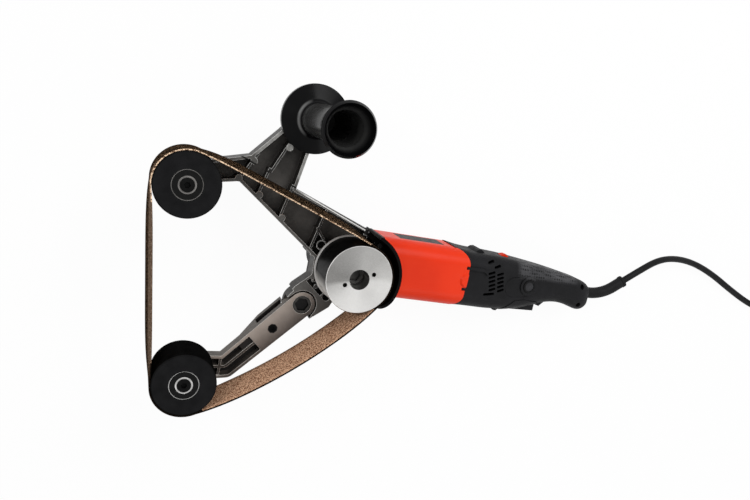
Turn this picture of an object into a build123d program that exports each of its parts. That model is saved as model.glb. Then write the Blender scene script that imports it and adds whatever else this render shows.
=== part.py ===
from build123d import *
import os
from math import atan2, cos, degrees, hypot, pi, radians, sin, sqrt, tan

os.makedirs("parts", exist_ok=True)

# The sander lies on its back: X runs along the motor to the cord, Z along the drum axis to the front.
# The origin is where the drum axis meets the surface that the tool lies on. Sizes are in millimetres.

# Clearances
seat_gap = 0.05
run_gap = 0.08
free_gap = 0.3
chamfer_small = 0.6

# Levels along the drum axis
motor_width = 65.0
motor_height = motor_width / 2
case_top = 58.0
cover_depth = 6.0
frame_base = case_top + cover_depth
frame_depth = 18.0
frame_top = frame_base + frame_depth
drum_clearance = 1.5
drum_back = frame_top + drum_clearance
drum_width = 42.5
drum_front = drum_back + drum_width

# Centres of what turns, seen from the front
drum_at = (0.0, 0.0)
upper_roller_at = (-171.7, 63.6)
lower_roller_at = (-146.0, -120.6)
pivot_at = (-39.1, -43.6)
side_handle_at = (-62.0, 139.6)

# Gear case and its cover
case_radius = 26.8
case_length = 42.0
case_wall = 4.0
case_edge = 10.5
case_shoulder_at = 26.0
cavity_radius = 24.0
flange_radius = 41.5
flange_depth = 12.0
flange_left_flat = 32.0
ring_left_flat = 35.3
ring_low_flat = 37.5
ring_flat_top = 8.0
cover_boss_wall = 4.0
cover_collar_height = 5.0
cover_collar_radius = 16.0
frame_screw_circle = 36.5
frame_screw_angles = (60.0, 148.0, 244.0, 330.0)

# Ball bearings: bore radius, outside radius, width
tail_bearing = (4.0, 11.0, 7.0)
nose_bearing = (5.0, 13.0, 8.0)
head_bearing = (6.0, 14.0, 8.0)
bearing_ring = 2.1
bearing_balls = 9

# Bevel gears
pinion_teeth = 10
crown_teeth = 30
gear_module = 1.45
gear_face = 7.0
tooth_share = 0.37
tooth_addendum = 1.1
tooth_dedendum = 1.8
tooth_sink = 0.5
crown_slope = 19.0
pinion_slope = 11.5
crown_base = 12.0
crown_hub_radius = 11.0
pinion_hub_radius = 6.2

# Spindle, drum and its bolt
spindle_radius = head_bearing[0]
spindle_collar_radius = 8.0
spindle_seat_length = 19.0
drum_radius = 33.5
drum_lip = 1.4
drum_lip_width = 1.6
drum_rim = 4.0
drum_face = 6.0
drum_hub_radius = 15.0
drum_bore_radius = 10.0
drum_bore_depth = 24.0
drum_bolt_head = 9.0
drum_bolt_head_depth = 6.0
drum_bolt_drive = 6.5
drum_bolt_shank = 3.9
drum_bolt_length = 15.0
pin_hole_circle = 15.0
pin_hole_radius = 2.2
pin_hole_depth = 5.0
pin_hole_angle = 27.0

# Rollers and axles
roller_radius = 29.8
roller_width = 41.5
roller_inset = 1.0
roller_web_bore = 11.5
roller_edge = 1.2
axle_thread_radius = 5.0
axle_collar_radius = 7.8
axle_ring_radius = 6.5
axle_ring_width = 0.9
socket_radius = 3.0
socket_depth = 3.0

# Belt
belt_width = 40.0
belt_thickness = 1.2
belt_front_gap = 0.5
slack_run_radius = 520.0

# Belt frame
frame_floor = 4.0
frame_wall = 3.0
frame_rib = 2.4
frame_rib_drop = 1.5
frame_top_line = 44.0
ring_wall = 4.0
axle_boss_radius = 15.0
side_handle_boss_radius = 20.0
frame_boss_radius = 3.4
screw_boss_radius = 5.2
screw_boss_drop = 1.0
frame_screw_head = 3.7
arm_corner = (-67.0, 70.5)
branch_right = (-61.0, 106.0)
branch_left = (-91.7, 122.3)
arm_shoulder = (-114.9, 94.9)
axle_branch_top = (-132.0, 89.8)
axle_branch_low = (-136.7, 65.7)
arm_elbow = (-122.0, 68.9)
arm_root = (-36.0, 6.4)
knuckle_neck = (-34.6, -11.0)
knuckle_brow = (-50.2, -25.6)
knuckle_tip = (-51.8, -28.6)
knuckle_low = (-25.4, -54.6)
knuckle_corner = (-11.0, -42.8)
knuckle_right = (-8.5, -36.8)
knuckle_floor = 6.0
knuckle_radius = 17.2
knuckle_hollow = 14.8
knuckle_inner = 39.0
knuckle_slot = ((-39.6, -18.4), (-35.9, -15.0), (-19.4, -26.6), (-22.4, -32.3))
knuckle_slot_depth = 11.0
knuckle_lugs = ((-31.8, -17.0), (-28.4, -23.5))
knuckle_lug_radius = 2.2
branch_drop = 12.0
frame_ribs = (
    ((-104.0, 52.0), (-95.0, 86.0)),
    ((-79.0, 33.0), (-70.0, 74.0)),
    ((-43.4, 6.0), (-32.2, 56.0)),
    ((-126.0, 64.0), (-108.0, 98.0)),
    ((-81.0, 112.0), (-94.0, 82.0)),
    ((-38.5, 36.4), (-26.8, 21.5)),
)
frame_bosses = ((-101.0, 59.3), (-75.4, 40.6), (-122.8, 71.9), (-111.4, 90.0), (-80.4, 108.6))

# Belt guard
guard_inner = 43.0
guard_outer = 46.0
guard_base = motor_width + 2.0
guard_front = 118.0
guard_start = -45.0
guard_end = 69.0
guard_foot = 2.2
guard_corner = 18.0
guard_screw_angles = (45.0, -15.0)
guard_screw_head = 2.6
guard_screw_head_depth = 1.6
guard_screw_shank = 1.4
guard_screw_length = 9.0

# Tension arm
arm_elbow_at = (-104.0, -116.0)
arm_pivot_radius = 13.0
arm_elbow_radius = 11.4
arm_axle_radius = 13.0
arm_depth = 25.0
arm_back = frame_top - arm_depth
arm_low_depth = 13.5
arm_low_back = frame_top - arm_low_depth
arm_taper = (42.0, 68.0)
arm_end_back = frame_base + knuckle_floor + free_gap
arm_step = 0.8
arm_wall = 3.0
arm_face = 5.0
arm_face_length = 60.0
arm_pocket_depth = 10.5
arm_rib = 2.6
arm_block_length = 14.0
arm_block_drop = 3.5
arm_hollow_length = 48.0
arm_hollow_floor = 5.5
arm_slot_length = 32.0
arm_slot_height = 11.0
arm_slot_depth = 13.2
arm_slot_from_pivot = 30.5
arm_swing = (-15.0, -10.0, -5.0, 0.0, 5.0, 10.0, 15.0, 20.0, 25.0)
arm_swing_gap = 1.0
arm_screw_from_pivot = 37.5
arm_screw_radius = 4.2
arm_screw_boss = 6.5
arm_screw_length = 14.0

# Pivot and tension spring
pivot_shoulder = 6.0
pivot_thread = 4.0
pivot_head = 8.9
pivot_socket = 7.2
pivot_head_depth = 5.0
pivot_counterbore = 9.3
pivot_counterbore_depth = 6.0
spring_radius = 9.8
spring_wire = 0.6
spring_pitch = 1.7
spring_turns = 2
spring_room = 1.6

# Side handle
side_handle_length = 127.0
side_handle_flange = 33.0
side_handle_grip = 15.5
side_handle_tip = 23.3
side_handle_mouth = 21.2
side_handle_throat = 15.2
side_handle_throat_depth = 14.0
side_handle_hollow = 10.0
side_handle_wall = 3.5
side_handle_hollow_depth = 89.0
side_handle_rim = 5.0
side_handle_root = 20.0
side_handle_crown = 10.5
side_handle_sweep = 6.0
side_handle_flare = 40.0
side_handle_tip_round = 4.0
stud_radius = 6.0
stud_length = 44.0

# Motor housing
housing_corner = 17.0
housing_wall = 2.5
housing_front_wall = 3.5
housing_end = 144.0
housing_top_round = 17.0
housing_low_round = 15.0
housing_bump_radius = 8.4
housing_bump_top = 6.4
housing_bump_height = 1.8
housing_bump_at = 0.0
housing_notches = ((14.2, 3.4, 3.6), (-10.0, 3.4, 4.4))
inlay_start = 64.0
inlay_length = 53.0
inlay_height = 27.0
inlay_depth = 1.2
housing_screw_across = 23.0
housing_screw_up = 18.0
housing_screw_head = 3.4
housing_screw_head_depth = 3.2
housing_screw_shank = 2.0
housing_screw_length = 13.0

# Armature along the motor axis
nose_bearing_at = 30.0
tail_bearing_at = 131.0
fan_at = 51.0
fan_length = 8.0
fan_radius = 27.0
fan_hub_radius = 9.0
fan_plate = 1.6
fan_blades = 14
fan_blade_thickness = 1.4
core_at = 64.0
core_length = 36.0
core_radius = 18.1
core_slots = 12
core_slot_width = 2.6
core_slot_depth = 6.0
winding_front = 4.0
winding_rear = 6.0
winding_radius = 15.8
commutator_at = 108.0
commutator_length = 16.0
commutator_radius = 12.0
commutator_bars = 20
commutator_slit = 0.4
commutator_slit_depth = 1.0
shaft_radius = 6.0
shaft_nose_radius = 4.0
shaft_end_clear = 1.0

# Stator, bridge and brushes
air_gap = 0.6
coil_inner = 20.0
coil_outer = 25.5
coil_spread = 55.0
coil_side = 14.0
coil_front = 4.0
coil_rear = 5.0
bridge_at = 127.0
bridge_length = 13.0
bridge_radius = 27.0
bridge_foot = 14.0
bridge_vent_radius = 5.0
bridge_vent_circle = 19.0
bridge_vents = 4
brush_along = 8.0
brush_across = 5.5
brush_length = 14.0
brush_wall = 1.0
brush_at = 116.0
brush_holder_length = 13.0
bridge_arm = 3.0

# Handle: station along X, top, bottom, half height and corner of each section
handle_sections = (
    (112.0, 32.5, -32.5, 31.8, 17.0),
    (136.0, 32.0, -32.5, 31.2, 17.0),
    (160.0, 30.0, -32.0, 30.3, 16.0),
    (184.0, 29.5, -32.0, 29.5, 16.0),
    (206.0, 28.0, -30.0, 28.0, 15.0),
    (246.0, 24.0, -20.5, 24.0, 14.0),
    (280.0, 19.0, -15.8, 21.5, 12.5),
    (304.0, 14.5, -21.0, 19.5, 11.5),
    (316.0, 8.5, -17.5, 14.5, 8.5),
)
handle_wall = 2.5
handle_end = handle_sections[-1][0]
handle_split_gap = 0.1
handle_screws_at = ((301.4, 8.4), (302.3, -13.6))
handle_screw_head = 3.0
handle_screw_head_depth = 2.4
handle_screw_shank = 1.5
handle_screw_length = 22.0
handle_screw_level = 44.0
handle_post = 4.2
vent_rows = 5
vent_row_step = 4.6
vent_columns = (178.2, 189.2)
vent_length = 8.8
vent_width = 3.0
vent_lean = 22.0
vent_low = -6.6
vent_shear = -1.2
long_vent_at = (175.4, -12.4)
long_vent_length = 14.0
top_vents = ((179.4, 19.6), (171.0, 23.6))

# Raised forms on the outside of the handle, as outlines seen from the front
front_nub = ((186.0, -28.0), (196.0, -34.4), (199.0, -34.4), (205.4, -28.0))
rear_nub = ((248.6, -16.0), (248.6, -21.6), (253.6, -22.8), (261.0, -15.0))
top_nub = ((153.0, 27.0), (160.0, 32.6), (164.0, 33.4), (172.0, 27.0))
nub_half_width = 12.0
ledge = ((141.0, 12.6), (163.0, 12.2), (168.0, 8.6), (166.4, 13.6), (160.0, 15.8), (141.0, 15.8))
ledge_top = 65.6
ledge_base = 55.0
cheek = ((199.0, -32.0), (211.2, -16.6), (224.0, -14.5), (246.0, -17.0), (246.0, -32.0))
cheek_height = 0.8

# Trigger
trigger_front = 206.0
trigger_rear = 247.6
trigger_width = 22.0
trigger_low_front = -31.0
trigger_low_rear = -29.4
trigger_top = -16.5
trigger_pin_at = (210.0, -23.5)
trigger_pin_radius = 2.0
trigger_pin_reach = 3.5
trigger_ear = 4.2
trigger_travel = 5.0

# Lock button, dial and switch
button_at = (223.6, 2.6)
button_radius = 7.5
button_flange = 9.0
button_flange_depth = 2.0
button_low = 53.0
button_high = 64.4
button_dish = 5.4
button_dish_depth = 1.0
button_ring_radius = 10.8
button_ring_top = 63.2
pad_at = (214.6, 0.9)
pad_length = 41.0
pad_width = 22.0
pad_lean = 11.0
pad_top = 61.6
pad_base = 50.0
dial_at = (198.4, 24.6)
dial_radius = 6.0
dial_width = 8.0
dial_ridges = 16
dial_ridge_radius = 0.6
dial_window_width = 10.4
dial_window_low = 27.2
dial_window_depth = 3.4
dial_stub_radius = 2.0
dial_stub_length = 4.0
dial_rib = 3.0
dial_rib_length = 12.0
dial_rib_low = 14.0
switch_start = 206.0
switch_length = 40.0
switch_width = 24.0
switch_height = 26.0
switch_drop = 12.5
switch_rib = 3.0
switch_rib_inset = 3.0
switch_plunger_radius = 3.0
switch_plunger_length = 3.6
switch_plunger_along = 28.0

# Cord guard, clamp and lead
cord_diameter = 8.0
cord_axis = -1.0
guard_sleeve_radius = 4.2
guard_sleeve_start = 278.0
guard_collar_radius = 7.4
guard_collar_start = 307.4
guard_collar_length = 5.6
boot_radius = 6.6
boot_bend_at = 325.0
boot_bend = 55.0
boot_turn = 38.0
boot_straight = 14.0
boot_ring_radius = 7.2
boot_ring_width = 3.0
clamp_at = 283.0
clamp_length = 8.0
clamp_width = 25.0
clamp_height = 9.0
clamp_screw_across = 9.0
clamp_screw_head = 2.6
clamp_screw_head_depth = 1.8
clamp_screw_shank = 1.4
clamp_screw_reach = 8.0
clamp_post = 3.2
lead_first_run = 26.0
lead_drop = ((420.0, 51.0, 25.0), (452.0, 56.0, 17.0), (490.0, 53.0, 9.5), (530.0, 41.0, 5.8))
lead_flat = ((568.0, 24.0), (606.0, 9.0))
lead_joins_at = 632.0
lead_arc_share = 0.45

# Cord coil, tie and plug
coil_centre = (664.0, 62.0)
coil_radius = 58.0
coil_step = 8.6
coil_rise = 8.5
coil_turns = 3
coil_tail = 46.0
gap_samples = 900
gap_skip = 3
tie_thickness = 0.6
tie_gap = 0.2
tie_width = 12.0
tie_sag = 1.7
plug_radius = 12.4
plug_neck_radius = 6.0
plug_neck_length = 22.0
plug_length = 34.0
plug_pin_radius = 2.4
plug_pin_length = 19.0
plug_pin_spacing = 19.0

# Places worked out from the sizes
roller_back = drum_front - roller_width
belt_back = drum_front - belt_front_gap - belt_width
crown_radius = gear_module * crown_teeth / 2
pinion_radius = gear_module * pinion_teeth / 2
cone_length = hypot(crown_radius, pinion_radius)
stator_radius = motor_width / 2 - housing_wall - seat_gap
shaft_end = tail_bearing_at + tail_bearing[2] - shaft_end_clear
cord_radius = cord_diameter / 2
coil_level = cord_radius + tie_thickness + tie_gap
coil_entry = (coil_centre[0] - cord_diameter, coil_centre[1] - coil_radius)
motor_axis = Axis((0, 0, motor_height), (1, 0, 0))


# Shared shapes

def keep(piece, name):
    """Label a finished piece and write it to its own file."""
    piece.part.label = name
    export_step(piece.part, f"parts/{name}.step")


def level(height, at=drum_at):
    """Plane square to the drum axis."""
    return Plane(origin=(at[0], at[1], height))


def station(along, across=0.0, up=motor_height):
    """Plane square to the motor axis: its own axes are Y and Z of the tool."""
    return Plane(origin=(along, across, up), x_dir=(0, 1, 0), z_dir=(1, 0, 0))


def side(across, along=0.0, up=motor_height):
    """Plane square to Y, facing along it: its own axes are Z and X of the tool."""
    return Plane(origin=(along, across, up), x_dir=(0, 0, 1), z_dir=(0, 1, 0))


def disc(plane, radius, depth, bore=0.0, mode=Mode.ADD):
    """Round plate or ring that stands on a plane."""
    with BuildSketch(plane) as face:
        Circle(radius)
        if bore:
            Circle(bore, mode=Mode.SUBTRACT)
    extrude(face.sketch, amount=depth, mode=mode)


def block(plane, width, height, depth, mode=Mode.ADD):
    """Square block that stands on a plane."""
    with BuildSketch(plane) as face:
        Rectangle(width, height)
    extrude(face.sketch, amount=depth, mode=mode)


def strip(start, end, thickness):
    """Straight strip of a sketch between two points."""
    run = Vector(*end) - Vector(*start)
    with Locations(((start[0] + end[0]) / 2, (start[1] + end[1]) / 2)):
        Rectangle(run.length, thickness, rotation=degrees(atan2(run.Y, run.X)))


def outline(points, mode=Mode.ADD):
    """Straight-sided face of a sketch."""
    Polygon(*points, align=None, mode=mode)


def lifted(face, height):
    """Copy of a base-plane sketch at a level."""
    return face.moved(Location((0, 0, height)))


def flatted_disc(radius, left, low, top):
    """Round plan about the drum axis, cut straight below and, up to a height, on its left."""
    with BuildSketch() as plan:
        Circle(radius)
        with Locations((-left - radius, top - radius)):
            Rectangle(2 * radius, 2 * radius, mode=Mode.SUBTRACT)
        with Locations((0, -low - radius)):
            Rectangle(2 * radius, 2 * radius, mode=Mode.SUBTRACT)
    return plan.sketch


def on_circle(radius, angle, centre=drum_at):
    """Point on a circle at an angle in degrees."""
    return (centre[0] + radius * cos(radians(angle)), centre[1] + radius * sin(radians(angle)))


def screw(plane, head_radius, head_depth, shank_radius, shank_length, drive):
    """Screw whose head stands on a plane, with a hexagon socket in the head."""
    disc(plane, head_radius, head_depth)
    disc(plane, shank_radius, -shank_length)
    with BuildSketch(plane.offset(head_depth)) as socket:
        RegularPolygon(drive, 6)
    extrude(socket.sketch, amount=-head_depth / 2, mode=Mode.SUBTRACT)


def ring_pair(planes, bearing, outer):
    """Inner or outer rings of a set of like ball bearings."""
    bore, outside, width = bearing
    for plane in planes:
        if outer:
            disc(plane, outside - seat_gap, width, outside - bearing_ring)
        else:
            disc(plane, bore + bearing_ring, width, bore + seat_gap)


def ball_set(planes, bearing):
    """Balls that run between the rings of a set of like ball bearings."""
    bore, outside, width = bearing
    room = outside - bore - 2 * bearing_ring
    for plane in planes:
        with Locations(plane.offset(width / 2)):
            with PolarLocations((bore + outside) / 2, bearing_balls):
                Sphere(room / 2 - run_gap)


def outer_normal(first, first_radius, second, second_radius):
    """Unit normal of the outer tangent of two circles, on the right of the way from first to second."""
    run = Vector(*second) - Vector(*first)
    lean = (first_radius - second_radius) / run.length
    right = Vector(run.Y, -run.X).normalized()
    return run.normalized() * lean + right * sqrt(1 - lean * lean)


def belt_loop(gap):
    """Closed line round the drum and both rollers, at a gap from their faces, slack on the lower run."""
    drum = Vector(*drum_at)
    upper = Vector(*upper_roller_at)
    lower = Vector(*lower_roller_at)
    drum_r = drum_radius + gap
    roller_r = roller_radius + gap
    top = outer_normal(drum_at, drum_r, upper_roller_at, roller_r)
    left = outer_normal(upper_roller_at, roller_r, lower_roller_at, roller_r)
    run = drum - lower
    lower_reach = slack_run_radius - roller_radius
    drum_reach = slack_run_radius - drum_radius
    along = (run.length ** 2 + lower_reach ** 2 - drum_reach ** 2) / (2 * run.length)
    inside = Vector(-run.Y, run.X).normalized() * sqrt(lower_reach ** 2 - along ** 2)
    slack = lower + run.normalized() * along + inside
    to_lower = (lower - slack).normalized()
    to_drum = (drum - slack).normalized()
    sag = (to_lower + to_drum).normalized()
    Line(drum + top * drum_r, upper + top * roller_r)
    bend = (top + left).normalized()
    ThreePointArc(upper + top * roller_r, upper + bend * roller_r, upper + left * roller_r)
    Line(upper + left * roller_r, lower + left * roller_r)
    turn = (left + to_lower).normalized()
    ThreePointArc(lower + left * roller_r, lower + turn * roller_r, lower + to_lower * roller_r)
    slack_r = slack_run_radius + gap
    ThreePointArc(slack + to_lower * slack_r, slack + sag * slack_r, slack + to_drum * slack_r)
    wrap = (to_drum + top).normalized()
    ThreePointArc(drum + to_drum * drum_r, drum + wrap * drum_r, drum + top * drum_r)


# Gear case: cast head that holds the bevel gears

with BuildPart() as gear_case:
    with BuildSketch() as case_plan:
        Circle(case_radius)
        with Locations(((case_shoulder_at + case_length) / 2, 0)):
            Rectangle(case_length - case_shoulder_at, motor_width)
        make_hull(case_plan.edges())
    extrude(case_plan.sketch, amount=case_top)
    chamfer(gear_case.edges().group_by(Axis.Z)[0].sort_by(Axis.X)[:-1], case_edge)
    flange_plan = flatted_disc(flange_radius, flange_left_flat, ring_low_flat, ring_flat_top)
    extrude(lifted(flange_plan, case_top - flange_depth), amount=flange_depth)
    cavity_floor = case_wall + tail_bearing[2]
    disc(level(cavity_floor), cavity_radius, case_top - cavity_floor, mode=Mode.SUBTRACT)
    disc(level(case_wall), tail_bearing[1], tail_bearing[2], mode=Mode.SUBTRACT)
    disc(station(nose_bearing_at), nose_bearing[1], case_length - nose_bearing_at, mode=Mode.SUBTRACT)
    disc(station(0), nose_bearing[1] - bearing_ring, case_length, mode=Mode.SUBTRACT)
    for angle in frame_screw_angles:
        place = on_circle(frame_screw_circle, angle)
        disc(level(case_top, place), axle_thread_radius / 2, -flange_depth + free_gap, mode=Mode.SUBTRACT)
    for across in (-housing_screw_across, housing_screw_across):
        for up in (-housing_screw_up, housing_screw_up):
            hole = station(case_length, across, motor_height + up)
            disc(hole, housing_screw_shank + seat_gap, -housing_screw_length, mode=Mode.SUBTRACT)
keep(gear_case, "gear_case")

# Bearing cover: plate with a boss for the upper spindle bearing and a collar that centres the frame

head_bearing_at = case_top - head_bearing[2]
ring_plan = flatted_disc(flange_radius, ring_left_flat, ring_low_flat, ring_flat_top)
with BuildPart() as bearing_cover:
    extrude(lifted(ring_plan, case_top), amount=cover_depth)
    disc(level(head_bearing_at), head_bearing[1] + cover_boss_wall, head_bearing[2])
    disc(level(frame_base), cover_collar_radius, cover_collar_height)
    disc(level(head_bearing_at), head_bearing[1], head_bearing[2], mode=Mode.SUBTRACT)
    bore_depth = cover_depth + cover_collar_height
    disc(level(case_top), spindle_collar_radius + free_gap, bore_depth, mode=Mode.SUBTRACT)
    for angle in frame_screw_angles:
        place = on_circle(frame_screw_circle, angle)
        disc(level(case_top, place), axle_thread_radius / 2, cover_depth, mode=Mode.SUBTRACT)
keep(bearing_cover, "bearing_cover")

# Spindle: turned shaft with a collar that the drum sits on

drum_seat = drum_back - drum_clearance / 2
with BuildPart() as spindle:
    disc(level(case_wall + free_gap), tail_bearing[0], tail_bearing[2] - free_gap)
    disc(level(case_wall + tail_bearing[2]), spindle_radius, case_top - case_wall - tail_bearing[2])
    disc(level(case_top), spindle_collar_radius, drum_seat - case_top)
    disc(level(drum_seat), spindle_radius, spindle_seat_length)
    spindle_end = level(drum_seat + spindle_seat_length)
    disc(spindle_end, drum_bolt_shank + seat_gap, -drum_bolt_length, mode=Mode.SUBTRACT)
keep(spindle, "spindle")

with BuildPart() as spindle_inner_rings:
    ring_pair([level(case_wall)], tail_bearing, False)
    ring_pair([level(head_bearing_at)], head_bearing, False)
keep(spindle_inner_rings, "spindle_inner_rings")

# Bevel gears: straight teeth that all point to where the two axes cross

apex = Vector(0, 0, motor_height)
cone_line = Vector(crown_radius, 0, -pinion_radius).normalized()
tooth_pitch_width = tooth_share * pi * gear_module


def bevel_tooth(slope, up):
    """One tooth between both ends of the cone; up is 1 on the crown gear and -1 on the pinion."""
    lean = tan(radians(slope))
    tip = tooth_pitch_width / 2 - tooth_addendum * lean
    root_depth = tooth_dedendum + tooth_sink
    root = tooth_pitch_width / 2 + root_depth * lean
    with BuildPart() as tooth:
        for reach in (cone_length, cone_length - gear_face):
            size = reach / cone_length
            place = apex + cone_line * reach
            with BuildSketch(Plane(origin=place, x_dir=(0, 1, 0), z_dir=cone_line)):
                corners = (
                    (-root * size, -root_depth * size * up),
                    (root * size, -root_depth * size * up),
                    (tip * size, tooth_addendum * size * up),
                    (-tip * size, tooth_addendum * size * up),
                )
                outline(corners)
        loft(ruled=True)
    return tooth.part


def root_point(reach, up):
    """Point on the root cone, as distance from Z and height, for the crown gear or the pinion."""
    size = reach / cone_length
    across = Vector(pinion_radius, 0, crown_radius).normalized()
    point = apex + cone_line * reach - across * (tooth_dedendum * size * up)
    return (point.X, point.Z)


crown_rim = root_point(cone_length, 1)
crown_inner = root_point(cone_length - gear_face, 1)
crown_tooth = bevel_tooth(crown_slope, 1)
with BuildPart() as crown_gear:
    with BuildSketch(Plane.XZ):
        outline((
            (spindle_radius + seat_gap, crown_base),
            (crown_rim[0], crown_base + tooth_dedendum),
            crown_rim,
            crown_inner,
            (crown_hub_radius, crown_inner[1] - tooth_dedendum),
            (spindle_radius + seat_gap, crown_inner[1] - tooth_dedendum),
        ))
    revolve(axis=Axis.Z)
    add([crown_tooth.rotate(Axis.Z, (index + 0.5) * 360 / crown_teeth) for index in range(crown_teeth)])
keep(crown_gear, "crown_gear")

pinion_large = root_point(cone_length, -1)
pinion_small = root_point(cone_length - gear_face, -1)
pinion_tooth = bevel_tooth(pinion_slope, -1)
pinion_end = nose_bearing_at - free_gap
with BuildPart() as drive_pinion:
    with BuildSketch(Plane.XZ):
        outline((
            (pinion_small[0], motor_height - shaft_nose_radius + tooth_sink),
            pinion_small,
            pinion_large,
            (pinion_large[0], motor_height - pinion_hub_radius),
            (pinion_end, motor_height - pinion_hub_radius),
            (pinion_end, motor_height - shaft_nose_radius + tooth_sink),
        ))
    revolve(axis=motor_axis)
    add([pinion_tooth.rotate(motor_axis, index * 360 / pinion_teeth) for index in range(pinion_teeth)])
    disc(station(0), shaft_nose_radius + seat_gap - tooth_sink, pinion_end, mode=Mode.SUBTRACT)
keep(drive_pinion, "drive_pinion")

# Drive drum: turned aluminium, open at the back, with two spanner holes in its face

with BuildPart() as drive_drum:
    disc(level(drum_back), drum_radius, drum_width, drum_radius - drum_rim)
    disc(level(drum_back), drum_radius + drum_lip, drum_lip_width, drum_radius - drum_rim)
    disc(level(drum_front - drum_face), drum_radius, drum_face)
    disc(level(drum_seat), drum_hub_radius, drum_front - drum_seat)
    chamfer(drive_drum.edges().filter_by(GeomType.CIRCLE).group_by(Axis.Z)[-1], chamfer_small)
    disc(level(drum_front), drum_bore_radius, -drum_bore_depth, mode=Mode.SUBTRACT)
    disc(level(drum_seat), spindle_radius + seat_gap, drum_width, mode=Mode.SUBTRACT)
    for half_turn in (0, 180):
        place = on_circle(pin_hole_circle, pin_hole_angle + half_turn)
        disc(level(drum_front, place), pin_hole_radius, -pin_hole_depth, mode=Mode.SUBTRACT)
keep(drive_drum, "drive_drum")

with BuildPart() as drum_bolt:
    bolt_seat = level(drum_front - drum_bore_depth)
    screw(
        bolt_seat, drum_bolt_head, drum_bolt_head_depth,
        drum_bolt_shank, drum_bolt_length, drum_bolt_drive,
    )
keep(drum_bolt, "drum_bolt")

# Rollers: moulded, each on two ball bearings

roller_bearing_levels = (
    roller_back + roller_inset,
    drum_front - roller_inset - head_bearing[2],
)


def roller(centre):
    """Hollow roller with a seat for a bearing at each end."""
    with BuildPart() as piece:
        disc(level(roller_back, centre), roller_radius, roller_width)
        rims = piece.edges().filter_by(GeomType.CIRCLE)
        chamfer(rims, roller_edge)
        disc(level(roller_back, centre), roller_web_bore, roller_width, mode=Mode.SUBTRACT)
        seat_depth = roller_inset + head_bearing[2]
        disc(level(roller_back, centre), head_bearing[1], seat_depth, mode=Mode.SUBTRACT)
        disc(level(drum_front, centre), head_bearing[1], -seat_depth, mode=Mode.SUBTRACT)
    return piece


def axle(centre, base):
    """Axle screwed into its boss, with a collar behind the roller and a snap ring in front."""
    first, last = roller_bearing_levels
    end = last + head_bearing[2]
    with BuildPart() as piece:
        disc(level(base, centre), axle_thread_radius, frame_top - base)
        disc(level(frame_top, centre), axle_collar_radius, first - frame_top)
        disc(level(first, centre), head_bearing[0], end - first + axle_ring_width)
        disc(level(end, centre), axle_ring_radius, axle_ring_width)
        with BuildSketch(level(end + axle_ring_width, centre)):
            RegularPolygon(socket_radius, 6)
        extrude(amount=-socket_depth, mode=Mode.SUBTRACT)
    return piece


def roller_set(centre, name, base):
    """Roller, axle, bearing rings and balls round one centre."""
    planes = [level(height, centre) for height in roller_bearing_levels]
    keep(roller(centre), f"{name}_roller")
    keep(axle(centre, base), f"{name}_axle")
    with BuildPart() as outer_rings:
        ring_pair(planes, head_bearing, True)
    keep(outer_rings, f"{name}_outer_rings")
    with BuildPart() as inner_rings:
        ring_pair(planes, head_bearing, False)
    keep(inner_rings, f"{name}_inner_rings")
    with BuildPart() as balls:
        ball_set(planes, head_bearing)
    keep(balls, f"{name}_bearing_balls")


roller_set(upper_roller_at, "upper", frame_base)
roller_set(lower_roller_at, "lower", arm_low_back)

# Sanding belt: closed loop of abrasive cloth, slack on the lower run

with BuildPart() as sanding_belt:
    with BuildSketch(level(belt_back)):
        with BuildLine():
            belt_loop(free_gap + belt_thickness)
        make_face()
        with BuildLine():
            belt_loop(free_gap)
        make_face(mode=Mode.SUBTRACT)
    extrude(amount=belt_width)
keep(sanding_belt, "sanding_belt")

# Plan of the tension arm: two bars that meet at an elbow


def arm_bar(start, start_radius, end, end_radius):
    """Bar of a sketch with round ends."""
    with Locations(start):
        Circle(start_radius)
    with Locations(end):
        Circle(end_radius)


def arm_plan(grow=0.0):
    """Outline of the tension arm on the base plane, grown all round."""
    with BuildSketch() as first:
        arm_bar(pivot_at, arm_pivot_radius + grow, arm_elbow_at, arm_elbow_radius + grow)
        make_hull(first.edges())
    with BuildSketch() as second:
        arm_bar(arm_elbow_at, arm_elbow_radius + grow, lower_roller_at, arm_axle_radius + grow)
        make_hull(second.edges())
    with BuildSketch() as whole:
        add(first.sketch)
        add(second.sketch)
    return whole.sketch


# Belt frame: one casting with a ribbed tray, a knuckle for the arm and a boss for the side handle

top_normal = outer_normal(drum_at, drum_radius, upper_roller_at, roller_radius)
ring_top = (top_normal.X * frame_top_line, top_normal.Y * frame_top_line)
ring_inside = flange_radius - ring_wall
arm_points = (
    ring_top, arm_corner, arm_shoulder, axle_branch_top,
    (upper_roller_at[0], upper_roller_at[1] + axle_boss_radius),
    (upper_roller_at[0], upper_roller_at[1] - axle_boss_radius),
    axle_branch_low, arm_elbow, arm_root, drum_at,
)
branch_points = (
    (arm_corner[0], arm_corner[1] - branch_drop), arm_corner, branch_right,
    (side_handle_at[0] + side_handle_boss_radius, side_handle_at[1]),
    (side_handle_at[0], side_handle_at[1] + side_handle_boss_radius),
    branch_left, arm_shoulder, (arm_shoulder[0] + branch_drop / 2, arm_shoulder[1] - branch_drop),
)
knuckle_points = (
    arm_root, knuckle_neck, knuckle_brow, knuckle_tip,
    pivot_at, knuckle_low, knuckle_corner, knuckle_right, drum_at,
)
with BuildSketch() as frame_plan:
    add(ring_plan)
    outline(arm_points)
    outline(branch_points)
    outline(knuckle_points)
    with Locations(upper_roller_at):
        Circle(axle_boss_radius)
    with Locations(side_handle_at):
        Circle(side_handle_boss_radius)
    with Locations(pivot_at):
        Circle(knuckle_radius)

with BuildSketch() as arm_pocket:
    outline(arm_points)
    offset(amount=-frame_wall, kind=Kind.INTERSECTION, mode=Mode.REPLACE)

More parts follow.
